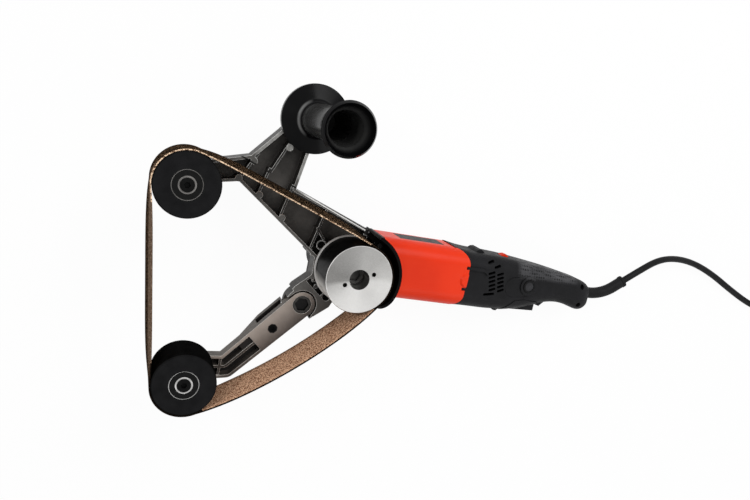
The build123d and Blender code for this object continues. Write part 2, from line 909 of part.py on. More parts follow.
ring_pocket = flatted_disc(
    ring_inside, ring_left_flat - frame_wall, ring_low_flat - frame_wall, ring_flat_top + frame_wall,
)
with BuildSketch() as branch_pocket:
    outline(branch_points)
    offset(amount=-frame_wall, kind=Kind.INTERSECTION, mode=Mode.REPLACE)

with BuildSketch() as rib_plan:
    for start, end in frame_ribs:
        strip(start, end, frame_rib)
    add(frame_plan.sketch, mode=Mode.INTERSECT)
    Circle(knuckle_inner, mode=Mode.SUBTRACT)

with BuildSketch() as knuckle_plan:
    outline(knuckle_points)
    with Locations(pivot_at):
        Circle(knuckle_radius)
    Circle(knuckle_inner, mode=Mode.SUBTRACT)

with BuildSketch() as slot_plan:
    outline(knuckle_slot)

with BuildPart() as belt_frame:
    extrude(lifted(frame_plan.sketch, frame_base), amount=frame_depth)
    tray_floor = frame_base + frame_floor
    extrude(lifted(arm_pocket.sketch, tray_floor), amount=frame_depth, mode=Mode.SUBTRACT)
    extrude(lifted(branch_pocket.sketch, tray_floor), amount=frame_depth, mode=Mode.SUBTRACT)
    extrude(lifted(ring_pocket, tray_floor), amount=frame_depth, mode=Mode.SUBTRACT)
    extrude(lifted(rib_plan.sketch, frame_base), amount=frame_depth - frame_rib_drop)
    extrude(lifted(knuckle_plan.sketch, frame_base), amount=frame_depth)
    disc(level(frame_base, upper_roller_at), axle_boss_radius, frame_depth)
    disc(level(frame_base, side_handle_at), side_handle_boss_radius, frame_depth)
    for place in frame_bosses:
        disc(level(frame_base, place), frame_boss_radius, frame_depth)
    slot_floor = frame_top - knuckle_slot_depth
    extrude(lifted(slot_plan.sketch, slot_floor), amount=frame_depth, mode=Mode.SUBTRACT)
    for place in knuckle_lugs:
        disc(level(frame_base, place), knuckle_lug_radius, frame_depth - frame_rib_drop)
    knuckle_face = frame_base + knuckle_floor
    disc(level(knuckle_face, pivot_at), knuckle_hollow, frame_depth, mode=Mode.SUBTRACT)
    swept_arm = arm_plan(arm_swing_gap)
    for swing in arm_swing:
        turned = swept_arm.rotate(Axis((*pivot_at, 0), (0, 0, 1)), swing)
        extrude(lifted(turned, knuckle_face), amount=frame_depth, mode=Mode.SUBTRACT)
    for angle in frame_screw_angles:
        place = on_circle(frame_screw_circle, angle)
        disc(level(frame_base, place), screw_boss_radius, frame_depth - screw_boss_drop)
        disc(level(tray_floor, place), frame_screw_head + free_gap, frame_depth, mode=Mode.SUBTRACT)
        disc(level(frame_base, place), axle_thread_radius / 2, frame_depth, mode=Mode.SUBTRACT)
    disc(level(frame_base), cover_collar_radius + seat_gap, frame_depth, mode=Mode.SUBTRACT)
    disc(level(frame_base, upper_roller_at), axle_thread_radius + seat_gap, frame_depth, mode=Mode.SUBTRACT)
    disc(level(frame_base, side_handle_at), stud_radius + seat_gap, frame_depth, mode=Mode.SUBTRACT)
    disc(level(frame_base, pivot_at), pivot_thread + seat_gap, frame_depth, mode=Mode.SUBTRACT)
    for angle in guard_screw_angles:
        place = on_circle(ring_inside + ring_wall / 2, angle)
        disc(level(frame_top, place), guard_screw_shank + seat_gap, -guard_screw_length, mode=Mode.SUBTRACT)
keep(belt_frame, "belt_frame")

with BuildPart() as frame_screws:
    for angle in frame_screw_angles:
        head = level(frame_base + frame_floor, on_circle(frame_screw_circle, angle))
        reach = frame_floor + cover_depth + flange_depth - 2 * free_gap
        shank = axle_thread_radius / 2 - seat_gap
        screw(head, frame_screw_head, frame_floor, shank, reach, socket_radius / 2)
keep(frame_screws, "frame_screws")

# Belt guard: black shroud round the far side of the drum, on a foot along the ring of the frame


def sector(plane, inner, outer, depth):
    """Part of a ring between the two ends of the guard."""
    with BuildSketch(plane) as face:
        Circle(outer)
        Circle(inner, mode=Mode.SUBTRACT)
        far = 2 * outer
        middle = (guard_start + guard_end) / 2
        outline(
            (drum_at, on_circle(far, guard_start), on_circle(far, middle), on_circle(far, guard_end)),
            mode=Mode.INTERSECT,
        )
    extrude(face.sketch, amount=depth)


with BuildPart() as belt_guard:
    sector(level(guard_base), guard_inner, guard_outer, guard_front - guard_base)
    sector(level(frame_top), ring_inside, guard_outer, guard_foot)
    for angle in guard_screw_angles:
        place = on_circle(ring_inside + ring_wall / 2, angle)
        disc(level(frame_top, place), guard_screw_shank + seat_gap, guard_foot, mode=Mode.SUBTRACT)
    outward = Vector(*on_circle(1, guard_start))
    corner_plane = Plane(
        origin=(*on_circle(guard_outer, guard_start), guard_front - guard_corner),
        x_dir=(-outward.Y, outward.X, 0),
        z_dir=(outward.X, outward.Y, 0),
    )
    with BuildSketch(corner_plane) as corner:
        with Locations((0, guard_corner)):
            Rectangle(2 * guard_corner, 2 * guard_corner)
        with Locations((guard_corner + free_gap, -free_gap)):
            Circle(hypot(guard_corner + free_gap, free_gap), mode=Mode.SUBTRACT)
    extrude(corner.sketch, amount=guard_corner / 2, both=True, mode=Mode.SUBTRACT)
keep(belt_guard, "belt_guard")

with BuildPart() as guard_screws:
    for angle in guard_screw_angles:
        head = level(frame_top + guard_foot, on_circle(ring_inside + ring_wall / 2, angle))
        screw(
            head, guard_screw_head, guard_screw_head_depth,
            guard_screw_shank, guard_screw_length, guard_screw_shank,
        )
keep(guard_screws, "guard_screws")

# Tension arm: hollow casting, thin over the knuckle, with an open ribbed end beyond its flat face

arm_run = Vector(*arm_elbow_at) - Vector(*pivot_at)
arm_heading = degrees(atan2(arm_run.Y, arm_run.X))
arm_way = arm_run.normalized()


def along_arm(distance, aside=0.0):
    """Point beside the middle line of the arm's first bar."""
    left = Vector(-arm_way.Y, arm_way.X)
    point = Vector(*pivot_at) + arm_way * distance + left * aside
    return (point.X, point.Y)


arm_whole = arm_plan()
arm_inside = arm_plan(-arm_wall)
with BuildSketch() as arm_deep_plan:
    add(arm_whole)
    with Locations(pivot_at):
        Circle(knuckle_radius + arm_step, mode=Mode.SUBTRACT)
with BuildSketch() as arm_hollow_plan:
    with Locations(along_arm(arm_hollow_length / 2)):
        Rectangle(arm_hollow_length, 4 * arm_pivot_radius, rotation=arm_heading)
    add(arm_inside, mode=Mode.INTERSECT)
    with Locations(pivot_at):
        Circle(knuckle_radius + arm_step + arm_wall, mode=Mode.SUBTRACT)
with BuildSketch() as arm_pocket_plan:
    add(arm_inside)
    with Locations(along_arm(arm_face_length / 2 - arm_pivot_radius)):
        Rectangle(
            arm_face_length + 2 * arm_pivot_radius, 4 * arm_pivot_radius,
            rotation=arm_heading, mode=Mode.SUBTRACT,
        )
    strip(along_arm(arm_face_length), arm_elbow_at, arm_rib)
    strip(arm_elbow_at, lower_roller_at, arm_rib)
with BuildSketch() as arm_rib_plan:
    strip(along_arm(arm_face_length), arm_elbow_at, arm_rib)
    strip(arm_elbow_at, lower_roller_at, arm_rib)
    strip(
        (arm_elbow_at[0] - arm_elbow_radius / 2, arm_elbow_at[1] - arm_elbow_radius),
        (arm_elbow_at[0] - arm_elbow_radius / 2, arm_elbow_at[1] + arm_elbow_radius),
        arm_rib,
    )
    add(arm_whole, mode=Mode.INTERSECT)
with BuildSketch() as arm_block_plan:
    block_middle = arm_face_length + arm_block_length / 2
    with Locations(along_arm(block_middle, -arm_pivot_radius / 2)):
        Rectangle(arm_block_length, arm_pivot_radius, rotation=arm_heading)
    add(arm_whole, mode=Mode.INTERSECT)
arm_screw_place = along_arm(arm_screw_from_pivot)
arm_side = Plane(origin=(*pivot_at, 0), x_dir=arm_way, z_dir=(arm_way.Y, -arm_way.X, 0))
arm_reach = 2 * arm_run.length
with BuildPart() as tension_arm:
    extrude(lifted(arm_deep_plan.sketch, arm_back), amount=arm_depth)
    with BuildSketch(arm_side) as taper:
        outline((
            (arm_taper[0], arm_back), (arm_taper[1], arm_low_back), (arm_reach, arm_low_back),
            (arm_reach, 0), (arm_taper[0], 0),
        ))
    extrude(taper.sketch, amount=arm_reach, both=True, mode=Mode.SUBTRACT)
    extrude(lifted(arm_whole, arm_end_back), amount=frame_top - arm_end_back)
    pocket_floor = frame_top - arm_pocket_depth
    extrude(lifted(arm_pocket_plan.sketch, pocket_floor), amount=arm_pocket_depth, mode=Mode.SUBTRACT)
    extrude(lifted(arm_rib_plan.sketch, pocket_floor), amount=arm_pocket_depth - frame_rib_drop)
    extrude(lifted(arm_block_plan.sketch, pocket_floor), amount=arm_pocket_depth - arm_block_drop)
    disc(level(arm_low_back, lower_roller_at), arm_axle_radius, arm_low_depth)
    hollow_depth = arm_depth - arm_face - arm_hollow_floor
    hollow_base = arm_back + arm_hollow_floor
    extrude(lifted(arm_hollow_plan.sketch, hollow_base), amount=hollow_depth, mode=Mode.SUBTRACT)
    disc(level(frame_top - arm_screw_length, arm_screw_place), arm_screw_boss, arm_screw_length)
    disc(level(arm_back, arm_screw_place), arm_screw_radius / 2 + seat_gap, arm_depth, mode=Mode.SUBTRACT)
    disc(level(frame_top, arm_screw_place), arm_screw_radius + seat_gap, -arm_face / 2, mode=Mode.SUBTRACT)
    slot_place = (*along_arm(arm_slot_from_pivot, -arm_pivot_radius), frame_top - arm_slot_depth)
    slot_plane = Plane(origin=slot_place, x_dir=arm_way, z_dir=arm_side.z_dir)
    with BuildSketch(slot_plane) as arm_slot:
        Rectangle(arm_slot_length, arm_slot_height)
    extrude(arm_slot.sketch, amount=arm_pivot_radius / 2, both=True, mode=Mode.SUBTRACT)
    disc(level(arm_end_back, pivot_at), pivot_shoulder + run_gap, frame_depth, mode=Mode.SUBTRACT)
    disc(level(frame_top, pivot_at), pivot_counterbore, -pivot_counterbore_depth, mode=Mode.SUBTRACT)
    spring_inner = spring_radius - spring_room
    spring_outer = spring_radius + spring_room
    spring_depth = spring_pitch * spring_turns + spring_room
    disc(level(arm_end_back, pivot_at), spring_outer, spring_depth, spring_inner, mode=Mode.SUBTRACT)
    axle_hole = axle_thread_radius + seat_gap
    disc(level(arm_low_back, lower_roller_at), axle_hole, arm_low_depth, mode=Mode.SUBTRACT)
keep(tension_arm, "tension_arm")

with BuildPart() as arm_screw:
    head = level(frame_top - arm_face / 2, arm_screw_place)
    shank = arm_screw_radius / 2
    screw(head, arm_screw_radius, arm_face / 2 - free_gap, shank, arm_screw_length, shank)
keep(arm_screw, "arm_screw")

with BuildPart() as pivot_screw:
    head = level(frame_top - pivot_counterbore_depth + run_gap, pivot_at)
    shoulder_length = frame_depth - pivot_counterbore_depth - knuckle_floor + run_gap
    screw(head, pivot_head, pivot_head_depth, pivot_shoulder, shoulder_length, pivot_socket)
    disc(level(frame_base, pivot_at), pivot_thread, knuckle_floor)
keep(pivot_screw, "pivot_screw")

with BuildPart() as tension_spring:
    spring_start = frame_base + knuckle_floor + spring_wire + free_gap / 2
    with BuildLine() as spring_line:
        Helix(spring_pitch, spring_pitch * spring_turns, spring_radius, center=(*pivot_at, spring_start))
    with BuildSketch(Plane(origin=spring_line.line @ 0, z_dir=spring_line.line % 0)):
        Circle(spring_wire)
    sweep(path=spring_line.line, is_frenet=True)
keep(tension_spring, "tension_spring")

# Side handle: flared hollow grip on a stud

grip_start = side_handle_crown + side_handle_sweep
grip_end = side_handle_length - side_handle_flare
with BuildPart() as side_handle:
    with BuildSketch(Plane(origin=(*side_handle_at, frame_top), x_dir=(1, 0, 0), z_dir=(0, -1, 0))):
        with BuildLine():
            Line((0, 0), (side_handle_flange, 0))
            Line((side_handle_flange, 0), (side_handle_flange, side_handle_rim))
            sweep_end = (side_handle_root, side_handle_crown)
            Line((side_handle_flange, side_handle_rim), sweep_end)
            TangentArc((side_handle_grip, grip_start), sweep_end, tangent=(0, -1))
            Line((side_handle_grip, grip_start), (side_handle_grip, grip_end))
            flare_end = side_handle_length - side_handle_tip_round
            Spline(
                (side_handle_grip, grip_end), (side_handle_tip, flare_end),
                tangents=((0, 1), (side_handle_tip - side_handle_grip, side_handle_flare / 2)),
            )
            rim = side_handle_tip - side_handle_tip_round / 2
            Line((side_handle_tip, flare_end), (rim, side_handle_length))
            Line((rim, side_handle_length), (side_handle_mouth, side_handle_length))
            hollow_neck = (side_handle_grip - side_handle_wall, grip_end)
            hollow_floor = side_handle_length - side_handle_hollow_depth
            throat = (side_handle_throat, side_handle_length - side_handle_throat_depth)
            Line((side_handle_mouth, side_handle_length), throat)
            Line(throat, hollow_neck)
            Line(hollow_neck, (side_handle_hollow, hollow_floor))
            Line((side_handle_hollow, hollow_floor), (0, hollow_floor))
            Line((0, hollow_floor), (0, 0))
        make_face()
    revolve(axis=Axis((*side_handle_at, 0), (0, 0, 1)))
    stud_room = stud_length - frame_depth + free_gap
    disc(level(frame_top, side_handle_at), stud_radius + seat_gap, stud_room, mode=Mode.SUBTRACT)
keep(side_handle, "side_handle")

with BuildPart() as side_handle_stud:
    disc(level(frame_base, side_handle_at), stud_radius, stud_length)
keep(side_handle_stud, "side_handle_stud")

# Motor housing: rounded square barrel whose rear edge is cut to a curve seen from the front


def housing_reach(grow=0.0):
    """Block over the housing's plan, with its two rear corners rounded."""
    with BuildPart() as reach:
        with BuildSketch() as plan:
            half = motor_width / 2
            outline((
                (0, -motor_width), (housing_end + grow - housing_low_round, -motor_width),
                (housing_end + grow - housing_low_round, -half), (housing_end + grow, -half),
                (housing_end + grow, half), (housing_end + grow - housing_top_round, half),
                (housing_end + grow - housing_top_round, motor_width), (0, motor_width),
            ))
            corners = plan.vertices().group_by(Axis.X)[-1].sort_by(Axis.Y)
            fillet(corners[1], housing_top_round - free_gap)
            fillet(plan.vertices().group_by(Axis.X)[-1].sort_by(Axis.Y)[0], housing_low_round - free_gap)
            for across, width, depth in housing_notches:
                with Locations((housing_end + grow, across)):
                    Rectangle(2 * depth, width - 2 * grow, mode=Mode.SUBTRACT)
        extrude(amount=2 * motor_width, both=True)
    return reach.part


housing_block = housing_reach()
inlay_place = side(motor_width / 2 - inlay_depth, inlay_start + inlay_length / 2)
with BuildPart() as motor_housing:
    with BuildSketch(station(case_length)):
        RectangleRounded(motor_width, motor_width, housing_corner)
    extrude(amount=housing_end - case_length)
    inner_width = motor_width - 2 * housing_wall
    with BuildSketch(station(case_length + housing_front_wall)):
        RectangleRounded(inner_width, inner_width, housing_corner - housing_wall)
    extrude(amount=housing_end, mode=Mode.SUBTRACT)
    add(housing_block, mode=Mode.INTERSECT)
    with Locations(level(motor_width, (housing_end - free_gap, housing_bump_at))):
        Cone(
            housing_bump_radius, housing_bump_top, housing_bump_height,
            align=(Align.CENTER, Align.CENTER, Align.MIN),
        )
    with Locations((housing_end + motor_width, 0, motor_width)):
        Box(2 * motor_width, 2 * motor_width, 4 * housing_bump_radius, mode=Mode.SUBTRACT)
    disc(station(case_length), nose_bearing[1], housing_front_wall, mode=Mode.SUBTRACT)
    inlay_room = (inlay_height + 2 * seat_gap, inlay_length + 2 * seat_gap)
    block(inlay_place, *inlay_room, inlay_depth, mode=Mode.SUBTRACT)
    for across in (-housing_screw_across, housing_screw_across):
        for up in (-housing_screw_up, housing_screw_up):
            hole = station(case_length, across, motor_height + up)
            disc(hole, housing_screw_shank + seat_gap, housing_front_wall, mode=Mode.SUBTRACT)
keep(motor_housing, "motor_housing")

with BuildPart() as housing_inlay:
    block(inlay_place, inlay_height, inlay_length, inlay_depth)
keep(housing_inlay, "housing_inlay")

with BuildPart() as housing_screws:
    for across in (-housing_screw_across, housing_screw_across):
        for up in (-housing_screw_up, housing_screw_up):
            head = station(case_length + housing_front_wall, across, motor_height + up)
            screw(
                head, housing_screw_head, housing_screw_head_depth,
                housing_screw_shank, housing_screw_length, housing_screw_shank,
            )
keep(housing_screws, "housing_screws")

# Armature: shaft, core, windings, commutator and fan

with BuildPart() as armature_shaft:
    nose_end = nose_bearing_at - free_gap
    disc(station(pinion_small[0]), shaft_nose_radius - tooth_sink, nose_end - pinion_small[0])
    disc(station(nose_end), nose_bearing[0], fan_at - nose_end)
    disc(station(fan_at), shaft_radius, tail_bearing_at - fan_at)
    disc(station(tail_bearing_at), tail_bearing[0], shaft_end - tail_bearing_at)
keep(armature_shaft, "armature_shaft")

with BuildPart() as armature_inner_rings:
    ring_pair([station(nose_bearing_at)], nose_bearing, False)
    ring_pair([station(tail_bearing_at)], tail_bearing, False)
keep(armature_inner_rings, "armature_inner_rings")

slot_reach = core_radius - core_slot_depth / 2
with BuildPart() as armature_core:
    disc(station(core_at), core_radius, core_length, shaft_radius + seat_gap)
    with BuildSketch(station(core_at)):
        with PolarLocations(slot_reach, core_slots):
            Rectangle(core_slot_depth + chamfer_small, core_slot_width)
    extrude(amount=core_length, mode=Mode.SUBTRACT)
keep(armature_core, "armature_core")

with BuildPart() as armature_windings:
    winding_bore = shaft_radius + seat_gap
    disc(station(core_at - winding_front), winding_radius, winding_front, winding_bore)
    disc(station(core_at + core_length), winding_radius, winding_rear, winding_bore)
    with BuildSketch(station(core_at)):
        with PolarLocations(slot_reach - chamfer_small, core_slots):
            Rectangle(core_slot_depth - 4 * run_gap - chamfer_small, core_slot_width - 4 * run_gap)
    extrude(amount=core_length)
keep(armature_windings, "armature_windings")

with BuildPart() as commutator:
    disc(station(commutator_at), commutator_radius, commutator_length, shaft_radius + seat_gap)
    with BuildSketch(station(commutator_at)):
        with PolarLocations(commutator_radius, commutator_bars):
            Rectangle(2 * commutator_slit_depth, commutator_slit)
    extrude(amount=commutator_length, mode=Mode.SUBTRACT)
keep(commutator, "commutator")

with BuildPart() as cooling_fan:
    disc(station(fan_at), fan_hub_radius, fan_length, shaft_radius + seat_gap)
    disc(station(fan_at), fan_radius, fan_plate, fan_hub_radius - fan_plate)
    with BuildSketch(station(fan_at)):
        with PolarLocations((fan_radius + fan_hub_radius) / 2, fan_blades):
            Rectangle(fan_radius - fan_hub_radius - fan_plate, fan_blade_thickness)
    extrude(amount=fan_length)
keep(cooling_fan, "cooling_fan")

# Stator core with two slots, and the two field coils that loop through them


def coil_band(first, last, inner, outer):
    """Part of a ring of a sketch between two angles."""
    with BuildSketch(mode=Mode.PRIVATE) as band:
        Circle(outer)
        Circle(inner, mode=Mode.SUBTRACT)
        far = 2 * outer
        middle = (first + last) / 2
        outline(
            (drum_at, on_circle(far, first), on_circle(far, middle), on_circle(far, last)),
            mode=Mode.INTERSECT,
        )
    return band.sketch


def coil_sides(grow):
    """Both straight sides of one coil, seen along the motor axis, with room all round."""
    spread = degrees(grow / coil_inner)
    low, high = 90 - coil_spread, 90 + coil_spread
    inner, outer = coil_inner - grow, coil_outer + grow
    return (
        coil_band(low - spread, low + coil_side + spread, inner, outer),
        coil_band(high - coil_side - spread, high + spread, inner, outer),
    )


with BuildPart() as stator_core:
    disc(station(core_at), stator_radius, core_length, core_radius + air_gap)
    with BuildSketch(station(core_at)):
        for half_turn in (0, 180):
            for face in coil_sides(free_gap / 2):
                add(face, rotation=half_turn)
    extrude(amount=core_length, mode=Mode.SUBTRACT)
keep(stator_core, "stator_core")

with BuildPart() as field_coils:
    for half_turn in (0, 180):
        with BuildSketch(station(core_at)):
            for face in coil_sides(0):
                add(face, rotation=half_turn)
        extrude(amount=core_length)
        whole = coil_band(90 - coil_spread, 90 + coil_spread, coil_inner, coil_outer)
        with BuildSketch(station(core_at - coil_front)):
            add(whole, rotation=half_turn)
        extrude(amount=coil_front)
        with BuildSketch(station(core_at + core_length)):
            add(whole, rotation=half_turn)
        extrude(amount=coil_rear)
keep(field_coils, "field_coils")

# Outer rings of the four bearings that sit in the gear case, its cover and the bridge

with BuildPart() as fixed_outer_rings:
    ring_pair([level(case_wall), station(tail_bearing_at)], tail_bearing, True)
    ring_pair([level(head_bearing_at)], head_bearing, True)
    ring_pair([station(nose_bearing_at)], nose_bearing, True)
keep(fixed_outer_rings, "fixed_outer_rings")

# Brush bridge: plate across the rear of the housing with the rear bearing and arms for the brush holders

holder_along = brush_along + 2 * brush_wall
holder_across = brush_across + 2 * brush_wall
holder_start = commutator_radius + brush_wall + free_gap
with BuildPart() as brush_bridge:
    disc(station(bridge_at), bridge_radius, bridge_length)
    block(station(bridge_at), bridge_foot, 2 * stator_radius, bridge_length)
    disc(station(tail_bearing_at), tail_bearing[1], tail_bearing[2], mode=Mode.SUBTRACT)
    disc(station(bridge_at), tail_bearing[1] - bearing_ring, tail_bearing[2], mode=Mode.SUBTRACT)
    with BuildSketch(station(bridge_at)):
        with PolarLocations(bridge_vent_circle, bridge_vents, start_angle=45):
            Circle(bridge_vent_radius)
    extrude(amount=bridge_length, mode=Mode.SUBTRACT)
    arm_start = brush_at - holder_along / 2
    with BuildSketch(station(arm_start)):
        arm_middle = holder_start + brush_holder_length / 2
        arm_up = holder_across / 2 + seat_gap + bridge_arm / 2
        with GridLocations(2 * arm_middle, 2 * arm_up, 2, 2):
            Rectangle(brush_holder_length, bridge_arm)
    extrude(amount=bridge_at - arm_start)
keep(brush_bridge, "brush_bridge")

with BuildPart() as brush_holders:
    for way in (1, -1):
        place = (brush_at, way * holder_start, motor_height)
        base = Plane(origin=place, x_dir=(1, 0, 0), z_dir=(0, way, 0))
        block(base, holder_along, holder_across, brush_holder_length)
        brush_room = (brush_along + 2 * run_gap, brush_across + 2 * run_gap)
        block(base, *brush_room, brush_holder_length, mode=Mode.SUBTRACT)
keep(brush_holders, "brush_holders")

with BuildPart() as carbon_brushes:
    for way in (1, -1):
        place = (brush_at, way * (commutator_radius + free_gap), motor_height)
        base = Plane(origin=place, x_dir=(1, 0, 0), z_dir=(0, way, 0))
        block(base, brush_along, brush_across, brush_length)
keep(carbon_brushes, "carbon_brushes")

# Handle: two moulded shells that meet on the motor axis


def handle_body(inset):
    """Solid through the handle sections, drawn in by a wall."""
    with BuildPart() as body:
        for along, top, bottom, half_height, corner in handle_sections:
            last = along == handle_end
            with BuildSketch(station(along - (inset if last else 0), (top + bottom) / 2)):
                RectangleRounded(top - bottom - 2 * inset, 2 * (half_height - inset), corner - inset)
        loft()
    return body.part


handle_solid = handle_body(0)
handle_room = handle_body(handle_wall)
with BuildPart() as handle_cheek:
    with BuildSketch(level(motor_height)):
        outline(cheek)
    extrude(amount=motor_width)
    add(handle_body(-cheek_height), mode=Mode.INTERSECT)
housing_gap_block = housing_reach(free_gap)
button_room = button_radius + free_gap
trigger_middle = (trigger_front + trigger_rear) / 2
trigger_slot = (trigger_rear - trigger_front + 2 * free_gap, trigger_width + 2 * free_gap)


def shell_inserts(way):
    """Ears, ribs and posts inside one shell; way is 1 for the front shell and -1 for the back one."""
    split_level = motor_height + way * handle_split_gap / 2
    with BuildPart() as inserts:
        ear_start = motor_height + way * (trigger_width / 2 + free_gap)
        disc(level(ear_start, trigger_pin_at), trigger_ear, way * motor_height)
        dial_start = motor_height + way * (dial_width / 2 + free_gap)
        rib_middle = (dial_at[0], (dial_rib_low + motor_width / 2) / 2)
        rib_height = motor_width / 2 - dial_rib_low
        block(level(dial_start, rib_middle), dial_rib_length, rib_height, way * dial_rib)
        rib_start = motor_height - switch_drop - seat_gap
        if way > 0:
            rib_start = rib_start + switch_height + 2 * seat_gap
        rib_width = switch_width - button_flange
        for along in (switch_start + switch_rib_inset, switch_start + switch_length - switch_rib_inset):
            block(level(rib_start, (along, 0)), switch_rib, rib_width, way * motor_height)
        for place in handle_screws_at:
            disc(level(split_level, place), handle_post, way * motor_height)
        if way < 0:
            for across in (-clamp_screw_across, clamp_screw_across):
                post_place = (clamp_at + clamp_length / 2, cord_axis + across)
                disc(level(split_level, post_place), clamp_post, way * motor_height)
        add(handle_solid, mode=Mode.INTERSECT)
    return inserts.part


def handle_shell(way):
    """One half of the handle, with the openings that both halves share."""
    with BuildPart() as shell:
        add(handle_solid)
        with BuildSketch(level(motor_height - nub_half_width)):
            outline(front_nub)
            outline(rear_nub)
            outline(top_nub)
        extrude(amount=2 * nub_half_width)
        if way > 0:
            with BuildSketch(level(pad_base, pad_at)):
                SlotOverall(pad_length, pad_width, rotation=pad_lean)
            extrude(amount=pad_top - pad_base)
            disc(level(pad_base, button_at), button_ring_radius, button_ring_top - pad_base)
            with BuildSketch(level(ledge_base)):
                outline(ledge)
            extrude(amount=ledge_top - ledge_base)
            add(handle_cheek.part)
        add(handle_room, mode=Mode.SUBTRACT)
        add(housing_gap_block, mode=Mode.SUBTRACT)
        half = level(motor_height + way * handle_split_gap / 2, (handle_end / 2, 0))
        block(half, 2 * handle_end, 2 * motor_width, -way * 2 * motor_width, mode=Mode.SUBTRACT)
        slot = side(trigger_top, trigger_middle)
        block(slot, trigger_slot[1], trigger_slot[0], -motor_width, mode=Mode.SUBTRACT)
        dial_band = level(motor_height - dial_width / 2 - free_gap, dial_at)
        dial_room = dial_radius + dial_ridge_radius + free_gap
        disc(dial_band, dial_room, dial_width + 2 * free_gap, mode=Mode.SUBTRACT)
        exit_hole = station(guard_collar_start, cord_axis)
        disc(exit_hole, boot_radius + seat_gap, handle_end, mode=Mode.SUBTRACT)
        add(shell_inserts(way))
        pin_length = trigger_width + 2 * trigger_pin_reach + 2 * free_gap
        pin_base = level(motor_height - pin_length / 2, trigger_pin_at)
        disc(pin_base, trigger_pin_radius + run_gap, pin_length, mode=Mode.SUBTRACT)
        stub = dial_width + 2 * dial_stub_length + 2 * free_gap
        disc(level(motor_height - stub / 2, dial_at), dial_stub_radius + run_gap, stub, mode=Mode.SUBTRACT)
        for place in handle_screws_at:
            seat = level(handle_screw_level, place)
            shank_room = handle_screw_shank + seat_gap
            disc(seat, shank_room, -handle_screw_length - free_gap, mode=Mode.SUBTRACT)
            disc(seat, handle_screw_head + seat_gap, motor_width, mode=Mode.SUBTRACT)
        if way < 0:
            for across in (-clamp_screw_across, clamp_screw_across):
                post = level(motor_height, (clamp_at + clamp_length / 2, cord_axis + across))
                disc(post, clamp_screw_shank + seat_gap, -clamp_screw_reach, mode=Mode.SUBTRACT)
        if way > 0:
            dial_window = level(motor_height, (dial_at[0], dial_window_low + motor_width / 2))
            window_depth = dial_width / 2 + dial_window_depth
            block(dial_window, dial_window_width, motor_width, window_depth, mode=Mode.SUBTRACT)
            disc(level(pad_base, button_at), button_room, motor_width, mode=Mode.SUBTRACT)
            with BuildSketch(level(pad_base)):
                for row in range(vent_rows):
                    for start in vent_columns:
                        place = (start + row * vent_shear, vent_low + row * vent_row_step)
                        with Locations(place):
                            SlotOverall(vent_length, vent_width, rotation=vent_lean)
                with Locations(long_vent_at):
                    SlotOverall(long_vent_length, vent_width, rotation=vent_lean / 2)
                with Locations(*top_vents):
                    SlotOverall(vent_length, vent_width, rotation=vent_lean)
            extrude(amount=motor_width, mode=Mode.SUBTRACT)
    return shell


keep(handle_shell(1), "handle_shell_front")
keep(handle_shell(-1), "handle_shell_back")

with BuildPart() as handle_screws:
    for place in handle_screws_at:
        head = level(handle_screw_level, place)
        screw(
            head, handle_screw_head, handle_screw_head_depth,
            handle_screw_shank, handle_screw_length, handle_screw_shank,
        )
keep(handle_screws, "handle_screws")

# Switch module, trigger, lock button and speed dial

with BuildPart() as switch_module:
    switch_middle = switch_start + switch_length / 2
    block(level(motor_height - switch_drop, (switch_middle, 0)), switch_length, switch_width, switch_height)
    plunger = side(-switch_width / 2, switch_start + switch_plunger_along)
    disc(plunger, switch_plunger_radius, -switch_plunger_length)
keep(switch_module, "switch_module")

with BuildPart() as trigger:
    with BuildSketch(level(motor_height - trigger_width / 2)):
        outline((
            (trigger_front, trigger_low_front), (trigger_rear, trigger_low_rear),
            (trigger_rear, trigger_top - trigger_travel), (trigger_front, trigger_top - trigger_travel),
        ))
    extrude(amount=trigger_width)
    pin_length = trigger_width + 2 * trigger_pin_reach
    disc(level(motor_height - pin_length / 2, trigger_pin_at), trigger_pin_radius, pin_length)
keep(trigger, "trigger")

with BuildPart() as lock_button:
    disc(level(button_low, button_at), button_flange, button_flange_depth)
    disc(level(button_low, button_at), button_radius, button_high - button_low)
    chamfer(lock_button.edges().group_by(Axis.Z)[-1], chamfer_small)
    disc(level(button_high, button_at), button_dish, -button_dish_depth, mode=Mode.SUBTRACT)
keep(lock_button, "lock_button")

with BuildPart() as speed_dial:
    with BuildSketch(level(motor_height - dial_width / 2, dial_at)):
        Circle(dial_radius)
        with PolarLocations(dial_radius, dial_ridges):
            Circle(dial_ridge_radius)
    extrude(amount=dial_width)
    stub = dial_width + 2 * dial_stub_length
    disc(level(motor_height - stub / 2, dial_at), dial_stub_radius, stub)
keep(speed_dial, "speed_dial")

# Cord guard: rubber sleeve with a collar inside the handle and a bent boot outside

